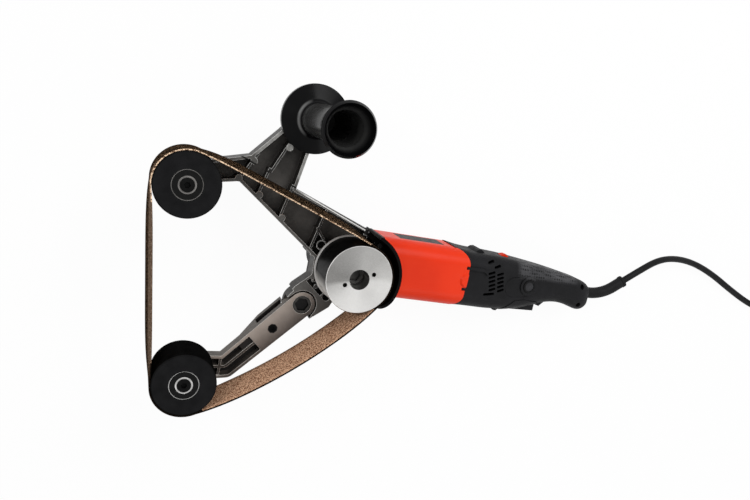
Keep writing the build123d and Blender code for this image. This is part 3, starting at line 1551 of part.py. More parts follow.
boot_start = Vector(guard_collar_start, cord_axis, motor_height)
boot_bend_start = Vector(boot_bend_at, cord_axis, motor_height)
boot_centre = boot_bend_start + Vector(0, boot_bend, 0)
boot_heading = Vector(cos(radians(boot_turn)), sin(radians(boot_turn)), 0)
boot_left = Vector(-boot_heading.Y, boot_heading.X, 0)
boot_bend_end = boot_centre - boot_left * boot_bend
boot_end = boot_bend_end + boot_heading * boot_straight
boot_middle_angle = radians(boot_turn / 2)
boot_middle = boot_centre + Vector(sin(boot_middle_angle), -cos(boot_middle_angle), 0) * boot_bend
with BuildPart() as cord_guard:
    sleeve_length = guard_collar_start - guard_sleeve_start
    disc(station(guard_sleeve_start, cord_axis), guard_sleeve_radius, sleeve_length)
    disc(station(guard_collar_start, cord_axis), guard_collar_radius, guard_collar_length)
    with BuildLine() as boot_line:
        Line(boot_start, boot_bend_start)
        ThreePointArc(boot_bend_start, boot_middle, boot_bend_end)
        Line(boot_bend_end, boot_end)
    with BuildSketch(station(guard_collar_start, cord_axis)):
        Circle(boot_radius)
    sweep(path=boot_line.line)
    disc(Plane(origin=boot_end, z_dir=boot_heading), boot_ring_radius, -boot_ring_width)
keep(cord_guard, "cord_guard")

clamp_low = motor_height
clamp_middle = clamp_at + clamp_length / 2
with BuildPart() as cord_clamp:
    block(level(clamp_low, (clamp_middle, cord_axis)), clamp_length, clamp_width, clamp_height)
    disc(station(clamp_at, cord_axis), guard_sleeve_radius + seat_gap, clamp_length, mode=Mode.SUBTRACT)
    for across in (-clamp_screw_across, clamp_screw_across):
        hole = level(clamp_low, (clamp_middle, cord_axis + across))
        disc(hole, clamp_screw_shank + seat_gap, clamp_height, mode=Mode.SUBTRACT)
keep(cord_clamp, "cord_clamp")

with BuildPart() as clamp_screws:
    for across in (-clamp_screw_across, clamp_screw_across):
        head = level(clamp_low + clamp_height, (clamp_middle, cord_axis + across))
        reach = clamp_height + clamp_screw_reach - free_gap
        screw(head, clamp_screw_head, clamp_screw_head_depth, clamp_screw_shank, reach, clamp_screw_shank)
keep(clamp_screws, "clamp_screws")

# Mains lead from the boot to the coil: straight runs with tangent arcs as large as the runs allow

lead_points = [
    boot_end,
    boot_end + boot_heading * lead_first_run,
    *[Vector(*point) for point in lead_drop],
    *[Vector(*point, coil_level) for point in lead_flat],
    Vector(lead_joins_at, coil_entry[1], coil_level),
    Vector(*coil_entry, coil_level),
]


def corner_radii(points):
    """Largest tangent arc at each corner of a route."""
    radii = []
    for before, here, after in zip(points, points[1:], points[2:]):
        turn = radians((here - before).get_angle(after - here))
        shorter = min((here - before).length, (after - here).length)
        radii.append(lead_arc_share * shorter / tan(turn / 2))
    return radii


lead_radii = corner_radii(lead_points)
with BuildPart() as cord_lead:
    with BuildLine() as lead_line:
        FilletPolyline(*lead_points, radius=lead_radii)
    lead_wire = lead_line.wires()[0]
    with BuildSketch(Plane(origin=lead_wire @ 0, z_dir=lead_wire % 0)):
        Circle(cord_radius)
    sweep(path=lead_wire)
keep(cord_lead, "cord_lead")
lead_length = lead_wire.length
lead_share = cord_lead.part.volume / (lead_length * pi * cord_radius ** 2)
print("lead radii", [round(radius) for radius in lead_radii])
print("lead length", round(lead_length, 1), "volume share", round(lead_share, 4))

# Put-away coil: spirals in on the lower layer, climbs where it reverses and spirals out above

with BuildPart() as cord_coil:
    with BuildLine() as coil_line:
        here = Vector(coil_centre[0], coil_centre[1] - coil_radius, coil_level)
        Line(here - Vector(cord_diameter, 0, 0), here)
        radius = coil_radius
        way = 1
        for half_turn in range(2 * coil_turns):
            there = here + Vector(0, way * 2 * radius, 0)
            ThreePointArc(here, (here + there) / 2 + Vector(way * radius, 0, 0), there)
            here = there
            radius = radius - coil_step / 2
            way = -way
        there = here + Vector(0, way * 2 * radius, coil_rise)
        reach = hypot(radius, coil_rise / 2)
        middle = (here + there) / 2 + Vector(way * reach, 0, 0)
        TangentArc(here, middle, tangent=(way, 0, 0))
        TangentArc(there, middle, tangent=(way, 0, 0))
        here = there
        for half_turn in range(2 * coil_turns - 1):
            radius = radius + coil_step / 2
            way = -way
            there = here + Vector(0, way * 2 * radius, 0)
            ThreePointArc(here, (here + there) / 2 + Vector(way * radius, 0, 0), there)
            here = there
        radius = radius + coil_step / 2
        quarter = here + Vector(radius, radius, 0)
        eighth = radians(45)
        ThreePointArc(here, here + Vector(radius * sin(eighth), radius * (1 - cos(eighth)), 0), quarter)
        coil_end = quarter + Vector(0, coil_tail, 0)
        Line(quarter, coil_end)
    coil_wire = coil_line.wires()[0]
    with BuildSketch(Plane(origin=(*coil_entry, coil_level), z_dir=(1, 0, 0))):
        Circle(cord_radius)
    sweep(path=coil_wire)
keep(cord_coil, "cord_coil")


def least_gap(wire, diameter, count):
    """Least gap between stretches of a tube that lie some diameters apart along it."""
    points = [tuple(wire.position_at(index / count)) for index in range(count + 1)]
    apart = int(gap_skip * diameter * count / wire.length) + 1
    least = wire.length
    for first in range(count + 1):
        for second in range(first + apart, count + 1):
            a, b = points[first], points[second]
            least = min(least, (a[0] - b[0]) ** 2 + (a[1] - b[1]) ** 2 + (a[2] - b[2]) ** 2)
    return sqrt(least) - diameter


coil_length = coil_wire.length
coil_share = cord_coil.part.volume / (coil_length * pi * cord_radius ** 2)
print("coil length", round(coil_length, 1), "volume share", round(coil_share, 4))
print("coil least gap", round(least_gap(coil_wire, cord_diameter, gap_samples), 2))
print("cord length", round(lead_length + coil_length, 1))

# Tie round the bundle of turns, and the plug beside the coil

with BuildPart() as cord_tie:
    bundle_width = (coil_turns - 1) * coil_step + cord_diameter + tie_sag
    bundle_outer = coil_centre[0] - coil_radius + coil_step / 2 - cord_radius
    tie_middle = bundle_outer + bundle_width / 2
    bundle_height = coil_rise + cord_diameter
    tie_plane = Plane(
        origin=(tie_middle, coil_centre[1] - tie_width / 2, coil_level + coil_rise / 2),
        x_dir=(-1, 0, 0),
        z_dir=(0, 1, 0),
    )
    with BuildSketch(tie_plane):
        inner_width = bundle_width + 2 * tie_gap
        inner_height = bundle_height + 2 * tie_gap
        RectangleRounded(inner_width + 2 * tie_thickness, inner_height + 2 * tie_thickness, cord_radius)
        RectangleRounded(inner_width, inner_height, cord_radius - tie_thickness, mode=Mode.SUBTRACT)
    extrude(amount=tie_width)
keep(cord_tie, "cord_tie")

plug_plane = Plane(origin=coil_end, x_dir=(1, 0, 0), z_dir=(0, 1, 0))
with BuildPart() as plug_body:
    with BuildSketch(plug_plane):
        Circle(plug_neck_radius)
    with BuildSketch(plug_plane.offset(plug_neck_length)):
        Circle(plug_radius)
    loft()
    disc(plug_plane.offset(plug_neck_length), plug_radius, plug_length - plug_neck_length)
keep(plug_body, "plug_body")

with BuildPart() as plug_pins:
    for way in (-1, 1):
        pin_plane = plug_plane.offset(plug_length)
        with BuildSketch(pin_plane):
            with Locations((way * plug_pin_spacing / 2, 0)):
                Circle(plug_pin_radius)
        extrude(amount=plug_pin_length)
keep(plug_pins, "plug_pins")
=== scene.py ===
from math import atan2, cos, pi, sin, sqrt

import bmesh
import bpy
from mathutils import Matrix, Vector


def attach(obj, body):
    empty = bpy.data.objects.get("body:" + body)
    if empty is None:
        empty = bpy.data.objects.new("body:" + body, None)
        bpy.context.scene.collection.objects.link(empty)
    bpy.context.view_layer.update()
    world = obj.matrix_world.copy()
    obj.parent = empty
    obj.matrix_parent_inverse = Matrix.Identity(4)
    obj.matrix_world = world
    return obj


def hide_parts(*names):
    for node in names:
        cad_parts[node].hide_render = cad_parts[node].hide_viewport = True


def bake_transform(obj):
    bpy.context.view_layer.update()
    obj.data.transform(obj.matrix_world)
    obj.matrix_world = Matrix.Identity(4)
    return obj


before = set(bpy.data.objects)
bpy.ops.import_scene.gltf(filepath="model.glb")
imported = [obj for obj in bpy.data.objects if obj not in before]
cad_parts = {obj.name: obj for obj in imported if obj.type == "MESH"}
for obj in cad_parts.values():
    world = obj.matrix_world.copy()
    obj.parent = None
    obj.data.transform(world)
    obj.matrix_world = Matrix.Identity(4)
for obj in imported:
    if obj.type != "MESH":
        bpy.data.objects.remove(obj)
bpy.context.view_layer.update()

# Gear case and bearing cover: two castings in aluminium, sprayed satin black.
# The cover is bolted on top of the case and carries the upper spindle bearing.


def tone(red, green, blue):
    """Screen colour as light values."""
    return tuple((part / 255 / 12.92 if part < 11 else ((part / 255 + 0.055) / 1.055) ** 2.4)
                 for part in (red, green, blue)) + (1.0,)


def new_finish(name, roughness=0.5, metallic=0.0, shine=0.08):
    """Start a finish: the material, its node tree, its shader and the piece's own coordinates."""
    material = bpy.data.materials.new(name)
    material.use_nodes = True
    tree = material.node_tree
    shader = tree.nodes["Principled BSDF"]
    shader.inputs["Roughness"].default_value = roughness
    shader.inputs["Metallic"].default_value = metallic
    shader.inputs["Specular IOR Level"].default_value = shine
    place = tree.nodes.new("ShaderNodeTexCoord").outputs["Object"]
    return material, tree, shader, place


def grains(tree, place, scale, detail=4.0):
    """Soft cloudy pattern, with scale in grains per metre."""
    node = tree.nodes.new("ShaderNodeTexNoise")
    node.inputs["Scale"].default_value = scale
    node.inputs["Detail"].default_value = detail
    tree.links.new(place, node.inputs["Vector"])
    return node.outputs["Fac"]


def spread(tree, value, low, high, start=0.3, end=0.7):
    """Stretch a pattern's middle range between two values."""
    node = tree.nodes.new("ShaderNodeMapRange")
    node.inputs["From Min"].default_value = start
    node.inputs["From Max"].default_value = end
    node.inputs["To Min"].default_value = low
    node.inputs["To Max"].default_value = high
    tree.links.new(value, node.inputs["Value"])
    return node.outputs["Result"]


def shades(tree, value, *stops):
    """Colours along a pattern's values."""
    node = tree.nodes.new("ShaderNodeValToRGB")
    ramp = node.color_ramp
    while len(ramp.elements) < len(stops):
        ramp.elements.new(1.0)
    for element, (position, colour) in zip(ramp.elements, stops):
        element.position = position
        element.color = colour
    tree.links.new(value, node.inputs["Fac"])
    return node.outputs["Color"]


def clouded(tree, place, scale, dark, light):
    """Colour that drifts between two tones in soft clouds."""
    return shades(tree, grains(tree, place, scale), (0.3, dark), (0.7, light))


def uneven_gloss(tree, shader, place, scale, low, high):
    """Let the roughness drift between two values."""
    tree.links.new(spread(tree, grains(tree, place, scale), low, high), shader.inputs["Roughness"])


def relief(tree, shader, height, depth, strength=1.0):
    """Raise the surface by a pattern, with its depth in metres."""
    node = tree.nodes.new("ShaderNodeBump")
    node.inputs["Strength"].default_value = strength
    node.inputs["Distance"].default_value = depth
    tree.links.new(height, node.inputs["Height"])
    before = shader.inputs["Normal"].links
    if before:
        tree.links.new(before[0].from_socket, node.inputs["Normal"])
    tree.links.new(node.outputs["Normal"], shader.inputs["Normal"])


def fine_grain(tree, shader, place, scale, depth, detail=2.0):
    """Raise the surface by a fine grain, with its depth in metres."""
    relief(tree, shader, grains(tree, place, scale, detail), depth)


def grained(name, dark, light, cloud, grain, depth, rough, metallic=0.0, shine=0.08):
    """Finish with cloudy colour, uneven gloss and a fine raised grain."""
    material, tree, shader, place = new_finish(name, metallic=metallic, shine=shine)
    tree.links.new(clouded(tree, place, cloud, dark, light), shader.inputs["Base Color"])
    uneven_gloss(tree, shader, place, cloud * 3, *rough)
    fine_grain(tree, shader, place, grain, depth)
    return material


def dress(material, *names):
    """Give solids of the frame their finish."""
    for name in names:
        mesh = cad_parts[name].data
        mesh.materials.clear()
        mesh.materials.append(material)


black_casting = grained("black_casting", dark=tone(14, 14, 15), light=tone(22, 22, 23),
                        cloud=60, grain=900, depth=0.00008, rough=(0.42, 0.55))
dress(black_casting, "gear_case", "bearing_cover")

# Bearings, gears and shafts: hardened steel, turned and then ground bright.
# They run in grease inside the case and the rollers, so they show fine lines and little rust.


def waves(tree, place, pattern, direction, scale, distortion=0.0):
    """Regular lines, as rings or as straight bands."""
    node = tree.nodes.new("ShaderNodeTexWave")
    node.wave_type = pattern
    if pattern == "RINGS":
        node.rings_direction = direction
    else:
        node.bands_direction = direction
    node.inputs["Scale"].default_value = scale
    node.inputs["Distortion"].default_value = distortion
    tree.links.new(place, node.inputs["Vector"])
    return node.outputs["Fac"]


ground_steel, tree, shader, place = new_finish("ground_steel", roughness=0.28, metallic=1.0)
grinding_lines = waves(tree, place, "RINGS", "SPHERICAL", scale=700, distortion=2.0)
wear = grains(tree, place, 90)
steel_tone = shades(tree, wear, (0.3, tone(150, 148, 145)), (0.7, tone(205, 204, 202)))
tree.links.new(steel_tone, shader.inputs["Base Color"])
tree.links.new(spread(tree, wear, 0.22, 0.36), shader.inputs["Roughness"])
relief(tree, shader, grinding_lines, depth=0.00001, strength=0.5)
dress(ground_steel, "spindle", "crown_gear", "drive_pinion", "armature_shaft",
      "spindle_inner_rings", "armature_inner_rings", "fixed_outer_rings",
      "upper_bearing_balls", "lower_bearing_balls", "side_handle_stud", "tension_spring")

# Screws: steel, blackened by hot oxide, with a hexagon socket in each head.
# They hold the frame, the guard, the housing, the handle and the cord clamp.
# The screw of the tension arm is painted darker, as painted shade in its recess.

black_oxide = grained("black_oxide", dark=tone(12, 12, 13), light=tone(24, 23, 23), cloud=200, grain=2500,
                      depth=0.00002, rough=(0.3, 0.45), metallic=0.3, shine=0.3)
dress(black_oxide, "frame_screws", "guard_screws", "housing_screws", "handle_screws", "clamp_screws")
shaded_arm_screw = grained("shaded_arm_screw", dark=tone(6, 6, 6), light=tone(12, 12, 12), cloud=200, grain=2500,
                      depth=0.00002, rough=(0.45, 0.6), shine=0.04)
dress(shaded_arm_screw, "arm_screw")

# Motor inside the housing: stacked sheet cores, enamelled copper coils, a copper commutator,
# carbon brushes in brass holders on a moulded bridge, and a moulded fan.
# The switch and the cord clamp in the handle are moulded in the same filled nylon.

stacked_sheets, tree, shader, place = new_finish("stacked_sheets", roughness=0.5, metallic=1.0)
stack = waves(tree, place, "BANDS", "X", scale=320)
sheet_tone = shades(tree, stack, (0.2, tone(70, 70, 74)), (0.8, tone(120, 120, 124)))
tree.links.new(sheet_tone, shader.inputs["Base Color"])
relief(tree, shader, stack, depth=0.00015)
dress(stacked_sheets, "stator_core", "armature_core")

enamelled_copper, tree, shader, place = new_finish("enamelled_copper", roughness=0.32, metallic=0.9)
wires = waves(tree, place, "BANDS", "DIAGONAL", scale=420, distortion=3.0)
wire_tone = shades(tree, wires, (0.1, tone(92, 44, 22)), (0.8, tone(196, 116, 66)))
tree.links.new(wire_tone, shader.inputs["Base Color"])
relief(tree, shader, wires, depth=0.0003)
dress(enamelled_copper, "field_coils", "armature_windings", "commutator")

drawn_brass = grained("drawn_brass", dark=tone(160, 120, 60), light=tone(196, 156, 88),
                      cloud=120, grain=1500, depth=0.00003, rough=(0.25, 0.4), metallic=1.0)
dress(drawn_brass, "brush_holders")
carbon_block = grained("carbon_block", dark=tone(26, 26, 27), light=tone(44, 43, 42),
                       cloud=300, grain=2200, depth=0.00006, rough=(0.5, 0.7))
dress(carbon_block, "carbon_brushes")
filled_nylon = grained("filled_nylon", dark=tone(24, 24, 25), light=tone(36, 36, 37),
                       cloud=90, grain=1800, depth=0.00004, rough=(0.45, 0.6))
dress(filled_nylon, "brush_bridge", "cooling_fan", "switch_module", "cord_clamp")

# Motor housing: moulded in orange plastic with a fine spark texture, screwed to the gear case.
# Its rear edge is curved where the handle shells overlap it.
# The speed dial is moulded in the same orange.

orange_plastic, tree, shader, place = new_finish("orange_plastic", roughness=0.38, shine=0.14)
orange_tone = shades(tree, grains(tree, place, 25), (0.25, tone(223, 48, 14)), (0.75, tone(231, 56, 20)))
tree.links.new(orange_tone, shader.inputs["Base Color"])
uneven_gloss(tree, shader, place, 140, 0.32, 0.42)
fine_grain(tree, shader, place, 2600, depth=0.00003)
dress(orange_plastic, "motor_housing", "speed_dial")

# Inlay: thin plate moulded in black plastic with a satin face.
# It is set in a recess on the upper side of the housing.

inlay_plastic = grained("inlay_plastic", dark=tone(20, 18, 18), light=tone(30, 28, 27),
                        cloud=120, grain=1600, depth=0.00004, rough=(0.35, 0.5))
dress(inlay_plastic, "housing_inlay")

# Handle: two shells in black glass-filled nylon, screwed together along the motor axis.
# A field of small dimples on the upper side gives the hand its grip.
# The trigger is moulded in the same nylon.

along_motor, across_motor, up = Vector((1, 0, 0)), Vector((0, 1, 0)), Vector((0, 0, 1))
grip_start, grip_end, grip_fade = 0.206, 0.296, 0.008
grip_side = (0.009, 0.014)
dimples_per_metre, dimple_edge = 300, (0.2, 0.5)


def rising(tree, value, start, end):
    """Mask from 0 at one value to 1 at another."""
    return spread(tree, value, 0.0, 1.0, start, end)


def beyond(tree, place, way, start, full):
    """Mask of the points beyond a plane across a direction, rising between two distances along it."""
    node = tree.nodes.new("ShaderNodeVectorMath")
    node.operation = "DOT_PRODUCT"
    node.inputs[1].default_value = way
    tree.links.new(place, node.inputs[0])
    return rising(tree, node.outputs["Value"], start, full)


def product(tree, first, second):
    """Two masks multiplied."""
    node = tree.nodes.new("ShaderNodeMath")
    node.operation = "MULTIPLY"
    tree.links.new(first, node.inputs[0])
    tree.links.new(second, node.inputs[1])
    return node.outputs["Value"]


def within(tree, place, limits, mask=None):
    """Mask of the points beyond every one of several planes, cut out of another mask where one is given."""
    for limit in limits:
        side = beyond(tree, place, *limit)
        mask = side if mask is None else product(tree, mask, side)
    return mask


def mixed(tree, factor, first, second):
    """Second colour laid over the first by a mask."""
    node = tree.nodes.new("ShaderNodeMix")
    node.data_type = "RGBA"
    tree.links.new(factor, node.inputs["Factor"])
    tree.links.new(first, node.inputs["A"])
    tree.links.new(second, node.inputs["B"])
    return node.outputs["Result"]


handle_nylon, tree, shader, place = new_finish("handle_nylon", roughness=0.5, shine=0.08)
cells = tree.nodes.new("ShaderNodeTexVoronoi")
cells.inputs["Scale"].default_value = dimples_per_metre
cells.inputs["Randomness"].default_value = 0.2
tree.links.new(place, cells.inputs["Vector"])
grip_limits = ((along_motor, grip_start, grip_start + grip_fade),
               (-along_motor, -grip_end, grip_fade - grip_end),
               (across_motor, *grip_side))
grip_field = product(tree, within(tree, place, grip_limits),
                     rising(tree, cells.outputs["Distance"], *dimple_edge))
plain_nylon = clouded(tree, place, 40, tone(20, 20, 21), tone(29, 29, 31))
# Painted highlight: the ridges between the dimples are lighter.
lit_ridge_nylon = clouded(tree, place, 40, tone(58, 58, 60), tone(80, 80, 82))
tree.links.new(mixed(tree, grip_field, plain_nylon, lit_ridge_nylon), shader.inputs["Base Color"])
uneven_gloss(tree, shader, place, 220, 0.42, 0.58)
fine_grain(tree, shader, place, 1700, depth=0.00006)
relief(tree, shader, grip_field, depth=0.0006)
dress(handle_nylon, "handle_shell_front", "handle_shell_back", "trigger")

# Lock button: moulded in black nylon, and pushed in through the handle's front shell.
# Its dished top is paler.

button_at, dish_edge = Vector((0.2236, 0.0026, 0)), (0.0050, 0.0056)


def falling(tree, value, start, end):
    """Mask from 1 at one value to 0 at another."""
    return spread(tree, value, 1.0, 0.0, start, end)


def reach_from(tree, place, centre):
    """Distance from an upright axis."""
    shift = tree.nodes.new("ShaderNodeVectorMath")
    shift.operation = "SUBTRACT"
    shift.inputs[1].default_value = centre
    tree.links.new(place, shift.inputs[0])
    flat = tree.nodes.new("ShaderNodeVectorMath")
    flat.operation = "MULTIPLY"
    flat.inputs[1].default_value = (1, 1, 0)
    tree.links.new(shift.outputs["Vector"], flat.inputs[0])
    reach = tree.nodes.new("ShaderNodeVectorMath")
    reach.operation = "LENGTH"
    tree.links.new(flat.outputs["Vector"], reach.inputs[0])
    return reach.outputs["Value"]


button_nylon, tree, shader, place = new_finish("button_nylon", roughness=0.45, shine=0.1)
dish = falling(tree, reach_from(tree, place, button_at), *dish_edge)
button_tone = clouded(tree, place, 120, tone(9, 9, 10), tone(14, 14, 15))
dish_tone = clouded(tree, place, 120, tone(40, 40, 42), tone(52, 52, 54))
tree.links.new(mixed(tree, dish, button_tone, dish_tone), shader.inputs["Base Color"])
fine_grain(tree, shader, place, 1700, depth=0.00004)
dress(button_nylon, "lock_button")

# Cord guard: soft black rubber sleeve, moulded with a collar that the handle shells hold.
# It keeps the lead from kinking where it leaves the handle.

soft_rubber = grained("soft_rubber", dark=tone(18, 18, 19), light=tone(27, 27, 28),
                      cloud=70, grain=1200, depth=0.00006, rough=(0.5, 0.65), shine=0.1)
dress(soft_rubber, "cord_guard")

# Belt frame: one casting in aluminium, a tray with ribs, tumbled and coated dark grey.
# Tumbling has rounded every edge. Each face takes its tones by which way it points and how high it lies, as
# painted light and shade, and every edge carries a painted highlight.

rib_level, top_level, edge_radius = (0.0788, 0.0798), (0.0813, 0.0816), 0.0009
wall_side, wall_way = Vector((0.3486, 0.9373, 0)), Vector((0.9373, -0.3486, 0))


def cast_skin(name, floor, wall, rib, top, edge, under=(), over=()):
    """Finish of a casting, from two tones each of its floors, walls, ribs, top and edges, sorted by facing
    and height as painted light and shade, with a painted highlight on the edges.

    Patches, each with its two tones and the planes that bound it, lie on the top under the edges,
    or over everything.
    """
    material, tree, shader, place = new_finish(name, metallic=0.25, shine=0.2)
    facing = tree.nodes.new("ShaderNodeNewGeometry").outputs["True Normal"]
    rounded = tree.nodes.new("ShaderNodeBevel")
    rounded.samples = 8
    rounded.inputs["Radius"].default_value = edge_radius
    tree.links.new(rounded.outputs["Normal"], shader.inputs["Normal"])
    bend = tree.nodes.new("ShaderNodeVectorMath")
    bend.operation = "DOT_PRODUCT"
    tree.links.new(rounded.outputs["Normal"], bend.inputs[0])
    tree.links.new(facing, bend.inputs[1])
    # Painted light and shade: each face gets its tones by which way it points and how high it lies.
    level = beyond(tree, facing, up, 0.7, 0.9)
    high = beyond(tree, place, up, *rib_level)
    lit_top = product(tree, level, beyond(tree, place, up, *top_level))
    # Painted highlight: edges found from the rounded normals are coloured bright.
    edge_highlight = product(tree, falling(tree, bend.outputs["Value"], 0.9, 0.985), high)
    layers = [(level, 45, floor), (product(tree, level, high), 70, rib), (lit_top, 70, top)]
    layers += [(within(tree, place, limits, lit_top), 160, tones) for tones, *limits in under]
    layers += [(edge_highlight, 160, edge)]
    layers += [(within(tree, place, limits), 160, tones) for tones, *limits in over]
    colour = clouded(tree, place, 45, *wall)
    for mask, cloud, tones in layers:
        colour = mixed(tree, mask, colour, clouded(tree, place, cloud, *tones))
    tree.links.new(colour, shader.inputs["Base Color"])
    uneven_gloss(tree, shader, place, 300, 0.38, 0.52)
    fine_grain(tree, shader, place, 700, depth=0.00012, detail=3.0)
    return material


above_ribs = (up, *rib_level)
# Painted light: a lighter patch on the top, past the upper wall.
lit_wall_patch = ((tone(128, 127, 124), tone(160, 159, 156)), (wall_side, 0.050, 0.056))
# Painted highlight: a white line along the top of the upper wall.
highlight_line = ((tone(214, 213, 210), tone(240, 239, 237)), above_ribs,
               (wall_side, 0.0414, 0.0417), (-wall_side, -0.0430, -0.0427), (wall_way, -0.0860, -0.0700))
# Painted shade: a dark line beside it.
shade_line = ((tone(20, 19, 18), tone(32, 31, 30)), above_ribs,
             (wall_side, 0.0427, 0.0430), (-wall_side, -0.0446, -0.0444))
# Painted shade: the end of the wall beside the drum, near black.
shaded_wall_end = ((tone(12, 12, 12), tone(20, 19, 19)), (wall_way, -0.0045, -0.0040), (wall_side, 0.0385, 0.0390))
grey_casting = cast_skin(
    "grey_casting",
    floor=(tone(46, 44, 42), tone(78, 75, 72)),
    wall=(tone(38, 36, 34), tone(58, 55, 52)),
    rib=(tone(38, 37, 36), tone(54, 52, 50)),
    top=(tone(76, 75, 73), tone(100, 98, 95)),
    edge=(tone(196, 195, 192), tone(240, 239, 236)),
    under=(lit_wall_patch,),
    over=(highlight_line, shade_line, shaded_wall_end),
)
dress(grey_casting, "belt_frame")

# Tension arm: a second casting in aluminium, blasted to a lighter, warmer grey.
# It has a flat face and an open ribbed end, and swings on the pivot screw against its spring.
# Its faces take painted light and shade as in the frame: the face is lighter and the pocket floors are
# darker.
# A band across the face and the seat of its small screw are painted dark, as painted shade.

arm_across = Vector((0.7446, -0.6675, 0))
screw_at, seat_reach, seat_fade, seat_sides = Vector((-0.06413, -0.07152, 0)), 0.0047, 0.0002, 8
seat_limits = []
for turn in range(seat_sides):
    angle = 2 * pi * turn / seat_sides
    inwards = Vector((cos(angle), sin(angle), 0))
    seat_edge = screw_at.dot(inwards) - seat_reach
    seat_limits.append((inwards, seat_edge - seat_fade, seat_edge + seat_fade))
# Painted shade: the seat of the small screw, dark in its counterbore.
shaded_screw_seat = ((tone(12, 11, 11), tone(22, 21, 20)), *seat_limits)
# Painted shade: a band across the arm's face, darker.
shaded_side = ((tone(64, 59, 56), tone(78, 72, 69)), (arm_across, -0.010, 0.013))
arm_casting = cast_skin(
    "arm_casting",
    floor=(tone(24, 22, 21), tone(38, 35, 33)),
    wall=(tone(70, 65, 61), tone(92, 86, 80)),
    rib=(tone(52, 48, 45), tone(72, 67, 63)),
    top=(tone(144, 134, 126), tone(158, 148, 140)),
    edge=(tone(166, 161, 155), tone(206, 201, 195)),
    under=(shaded_side,),
    over=(shaded_screw_seat,),
)
dress(arm_casting, "tension_arm")

# Pivot screw: a steel shoulder screw with a wide hexagon socket, which the tension arm swings on.
# Its lip is turned to a dull grey, and the socket and all below the lip are painted dark, as painted shade.

lip_level = (0.0804, 0.0808)
pivot_steel, tree, shader, place = new_finish("pivot_steel", roughness=0.45, metallic=0.2, shine=0.2)
lip = beyond(tree, place, up, *lip_level)
# Painted shade: the socket and everything below the lip.
socket_shade_tone = clouded(tree, place, 200, tone(5, 5, 5), tone(9, 9, 9))
lip_tone = clouded(tree, place, 240, tone(46, 45, 44), tone(66, 65, 63))
tree.links.new(mixed(tree, lip, socket_shade_tone, lip_tone), shader.inputs["Base Color"])
fine_grain(tree, shader, place, 2500, depth=0.00002)
dress(pivot_steel, "pivot_screw")

# Belt guard: steel band painted gloss black, bent round the far side of the drum.
# Screws hold its foot to the ring of the frame.

guard_paint = grained("guard_paint", dark=tone(5, 5, 5), light=tone(10, 10, 10),
                      cloud=50, grain=500, depth=0.00003, rough=(0.3, 0.42), shine=0.04)
dress(guard_paint, "belt_guard")

# Drive drum: turned from aluminium bar, with a black rubber sleeve that grips the belt.
# The lathe leaves fine rings on its face. A fan of greys on the face and a bright band on one side of the
# sleeve are painted reflections, the rims carry a painted highlight, and the hollows are painted dark as
# painted shade.
# A steel bolt in the middle holds it on the spindle.

drum_at = Vector((0, 0, 0))
skirt_reach, rim_reach = (0.0331, 0.0333), (0.0326, 0.0329)
hollow_reach, hub_reach = (0.0322, 0.0324), (0.0104, 0.0108)
sleeve_level, rim_level, hollow_level = (0.0852, 0.0853), (0.1252, 0.1256), (-0.1254, -0.1248)
reflection_start, reflection_end = (0.018, 0.075), (0.13, 0.15)
# Painted reflection: a fan of greys round the face.
painted_fan_greys = ((0.0, 110), (0.03, 112), (0.06, 160), (0.14, 186), (0.25, 200), (0.44, 196),
             (0.5, 182), (0.54, 156), (0.65, 147), (0.75, 157), (0.88, 137), (0.98, 111))

lathe_finish, tree, shader, place = new_finish("turned_aluminium", roughness=0.3, metallic=1.0, shine=0.02)
shader.inputs["Anisotropic"].default_value = 0.6
drum_reach = reach_from(tree, place, drum_at)
fan = tree.nodes.new("ShaderNodeTexGradient")
fan.gradient_type = "RADIAL"
tree.links.new(place, fan.inputs["Vector"])
fan_reflection_tone = shades(tree, fan.outputs["Fac"],
                  *((turn, tone(grey, grey - 1, grey - 3)) for turn, grey in painted_fan_greys))
streaks = grains(tree, place, 900, 3.0)
streak_tone = shades(tree, streaks, (0.35, tone(132, 131, 130)), (0.65, tone(200, 199, 197)))
lathe_rings = waves(tree, place, "RINGS", "Z", scale=900, distortion=0.6)
face_tone = mixed(tree, spread(tree, lathe_rings, 0.04, 0.14, 0.0, 1.0), fan_reflection_tone, streak_tone)
# Painted highlight on the front rim and the back lip.
rim_highlight_tone = clouded(tree, place, 150, tone(206, 205, 203), tone(232, 231, 229))
# Painted shade in the hollows of the face.
hollow_shade_tone = clouded(tree, place, 200, tone(26, 25, 24), tone(52, 50, 47))
sleeve_tone = clouded(tree, place, 150, tone(10, 10, 10), tone(18, 18, 18))
# Painted reflection: a bright band on one side of the sleeve.
reflection_tone = clouded(tree, place, 150, tone(196, 195, 192), tone(224, 223, 220))
skirt = rising(tree, drum_reach, *skirt_reach)
sleeve = product(tree, skirt, beyond(tree, place, up, *sleeve_level))
rim = product(tree, rising(tree, drum_reach, *rim_reach), beyond(tree, place, up, *rim_level))
hollow = product(tree, falling(tree, drum_reach, *hollow_reach), rising(tree, drum_reach, *hub_reach))
hollow = product(tree, hollow, beyond(tree, place, -up, *hollow_level))
reflection_band = product(tree, rising(tree, fan.outputs["Fac"], *reflection_start),
               falling(tree, fan.outputs["Fac"], *reflection_end))
face_tone = mixed(tree, rim, mixed(tree, hollow, face_tone, hollow_shade_tone), rim_highlight_tone)
skirt_tone = mixed(tree, sleeve, rim_highlight_tone, mixed(tree, reflection_band, sleeve_tone, reflection_tone))
tree.links.new(mixed(tree, skirt, face_tone, skirt_tone), shader.inputs["Base Color"])
tree.links.new(falling(tree, skirt, 0.0, 1.0), shader.inputs["Metallic"])
uneven_gloss(tree, shader, place, 120, 0.3, 0.4)
lathe = tree.nodes.new("ShaderNodeTangent")
lathe.direction_type = "RADIAL"
lathe.axis = "Z"
tree.links.new(lathe.outputs["Tangent"], shader.inputs["Tangent"])
dress(lathe_finish, "drive_drum")
